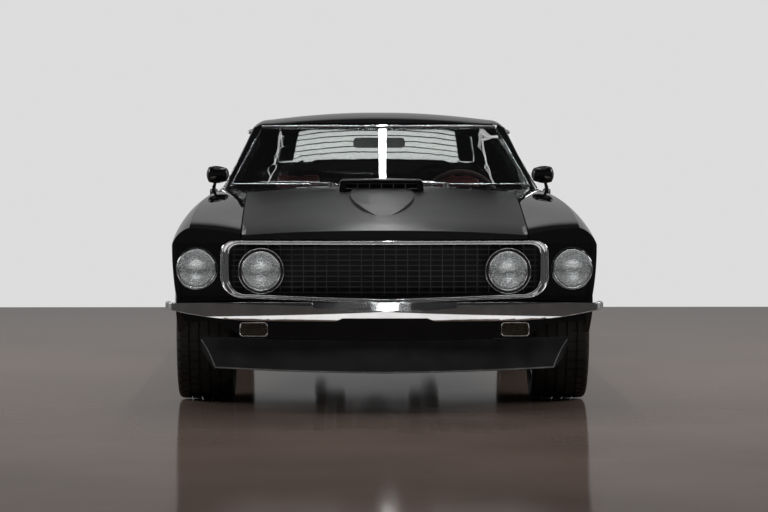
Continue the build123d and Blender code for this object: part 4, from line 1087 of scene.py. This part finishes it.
def sewChannels(piece, size, run, count):
    if not count:
        return
    wide = size[0] * padding["channelShare"]
    pitch, flat = wide / count, run == "y"
    for vert in piece.data.vertices:
        x, y, z = vert.co
        facing = z > size[2] * 0.32 if flat else y < -size[1] * 0.32
        if not facing or abs(x) > wide / 2 + 0.01:
            continue
        along = abs(y) < size[1] * 0.38 if flat else abs(z) < size[2] * 0.40
        offset = (x + wide / 2) % pitch
        offset = min(offset, pitch - offset) / padding["channelHalf"]
        deep = padding["channelDeep"] * exp(-(offset**2)) * (1 if along else 0.25)
        vert.co -= Vector((0, 0, deep) if flat else (0, -deep, 0))


def seatPads():
    made = []
    for name, (centre, size, recline, run, count) in pads.items():
        inner = [s - 2 * padding["cap"] * 0.8 for s in size]
        paired = centre[0] > 0
        piece = meshObject(f"{name}_left" if paired else name, padBlock(inner), finishes["seat"])
        inflate(piece)
        sewChannels(piece, inner, run, count)
        piece.data.transform(Matrix.Translation(centre) @ Matrix.Rotation(radians(recline), 4, "X"))
        piece.data.shade_smooth()
        made.append(piece)
        if paired:
            other = bpy.data.objects.new(f"{name}_right", piece.data.copy())
            other.data.transform(Matrix.Scale(-1, 4, (1, 0, 0)))
            other.data.flip_normals()
            bpy.context.scene.collection.objects.link(other)
            made.append(other)
    return made


def beside(corners, x):
    low, high, soft = corners
    return (low[0] + x, *low[1:]), (high[0] + x, *high[1:]), soft


def seatShells():
    bm = bmesh.new()
    behind, level = shells["backPlace"]
    tilt = Matrix.Rotation(radians(shells["backTurn"]), 4, "X")
    across, foot, top, radius = shells["posts"]
    for side in (-1, 1):
        x = side * shells["middle"]
        blockMesh(*beside(shells["runners"], x), into=bm)
        blockMesh(*beside(shells["pan"], x), into=bm)
        back = blockMesh(*shells["back"])
        place = Matrix.Translation((x, behind, level)) @ tilt
        bmesh.ops.transform(back, matrix=place, verts=back.verts)
        joinMesh(bm, back)
        for shift in across:
            joinMesh(bm, rodMesh([(x + shift, *foot), (x + shift, *top)], radius, sides=10))
        blockMesh(*beside(shells["bench"], side * shells["benchMiddle"]), into=bm)
    return bm


def buildSeats():
    for number, pad in enumerate(seatPads()):
        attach(pad, "body")
        if number == 0:
            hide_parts("seats")
    addPiece("seat_shells", seatShells(), "interior_plastic", "body")


# Instruments in the driver's bay

gauges = {
    "columns": (0.255, 0.325, 0.385, 0.445, 0.515),
    "height": 0.848,
    "radius": 0.019,
    "face": -0.5605,
    "faceDeep": 0.002,
    "rim": -0.5585,
    "rimWire": 0.0014,
}


def buildInstruments():
    rims, faces = bmesh.new(), bmesh.new()
    reach, deep = gauges["radius"], gauges["faceDeep"]
    disc = [(0, 0), (0, reach), (deep, reach), (deep, 0)]
    for x in gauges["columns"]:
        joinMesh(rims, wireRing((x, gauges["rim"], gauges["height"]), reach, gauges["rimWire"]))
        joinMesh(faces, turned(disc, (x, gauges["face"], gauges["height"]), "y", 32))
    addPiece("gauge_rims", rims, "chrome", "body")
    addPiece("gauge_faces", faces, "dial", "body")


# Door handles: a bowed grip and a round button behind it

handle = {
    "place": (0.20, 0.775),
    "length": 0.150,
    "stand": 0.022,
    "steps": 12,
    "thick": (0.0085, 0.0065),
    "button": [(-0.002, 0), (-0.002, 0.0105), (0.010, 0.0105), (0.012, 0.008), (0.012, 0)],
    "buttonBehind": 0.022,
}


def buildDoorHandles():
    y, z = handle["place"]
    steps, half, (thick, thin) = handle["steps"], handle["length"] / 2, handle["thick"]
    radii = [thick - (thick - thin) * abs(2 * i / steps - 1) for i in range(steps + 1)]
    for side, mark in ((1, "left"), (-1, "right")):
        node = f"door_{mark}"
        ends = [surfaceHit(node, (side * 1.2, y + shift, z), (-side, 0, 0))[0] for shift in (-half, half)]
        path = []
        for i in range(steps + 1):
            share = i / steps
            rise = handle["stand"] * min(1, 4 * min(share, 1 - share)) ** 0.6 + 0.0005
            path.append(ends[0].lerp(ends[1], share) + Vector((side * rise, 0, 0)))
        bm = rodMesh(path, radii, sides=12)
        button = turned(handle["button"], (0, 0, 0), "x", 24)
        if side < 0:
            bmesh.ops.scale(button, vec=(-1, 1, 1), verts=button.verts)
            bmesh.ops.reverse_faces(button, faces=button.faces[:])
        place = ends[1] + Vector((0, handle["buttonBehind"], 0))
        bmesh.ops.translate(button, vec=place, verts=button.verts)
        joinMesh(bm, button)
        addPiece(f"door_{mark}_handle", bm, "chrome", node)


setCamera()
buildWorld()
buildFloor()
addLamps()
bpy.context.scene.view_settings.view_transform = "Standard"
print("studio ready")
dressNodes()
buildHeadlamps()
buildSurround()
buildBarHighlights()
buildScoopGridHighlights()
print("front end ready")
buildGlassTrim()
buildMirrors()
buildBezels()
buildSpoilerLipHighlight()
buildDoorHandles()
print("mouldings ready")
buildTyres()
print("tyres ready")
buildInstruments()
buildSeats()
print("cabin ready")
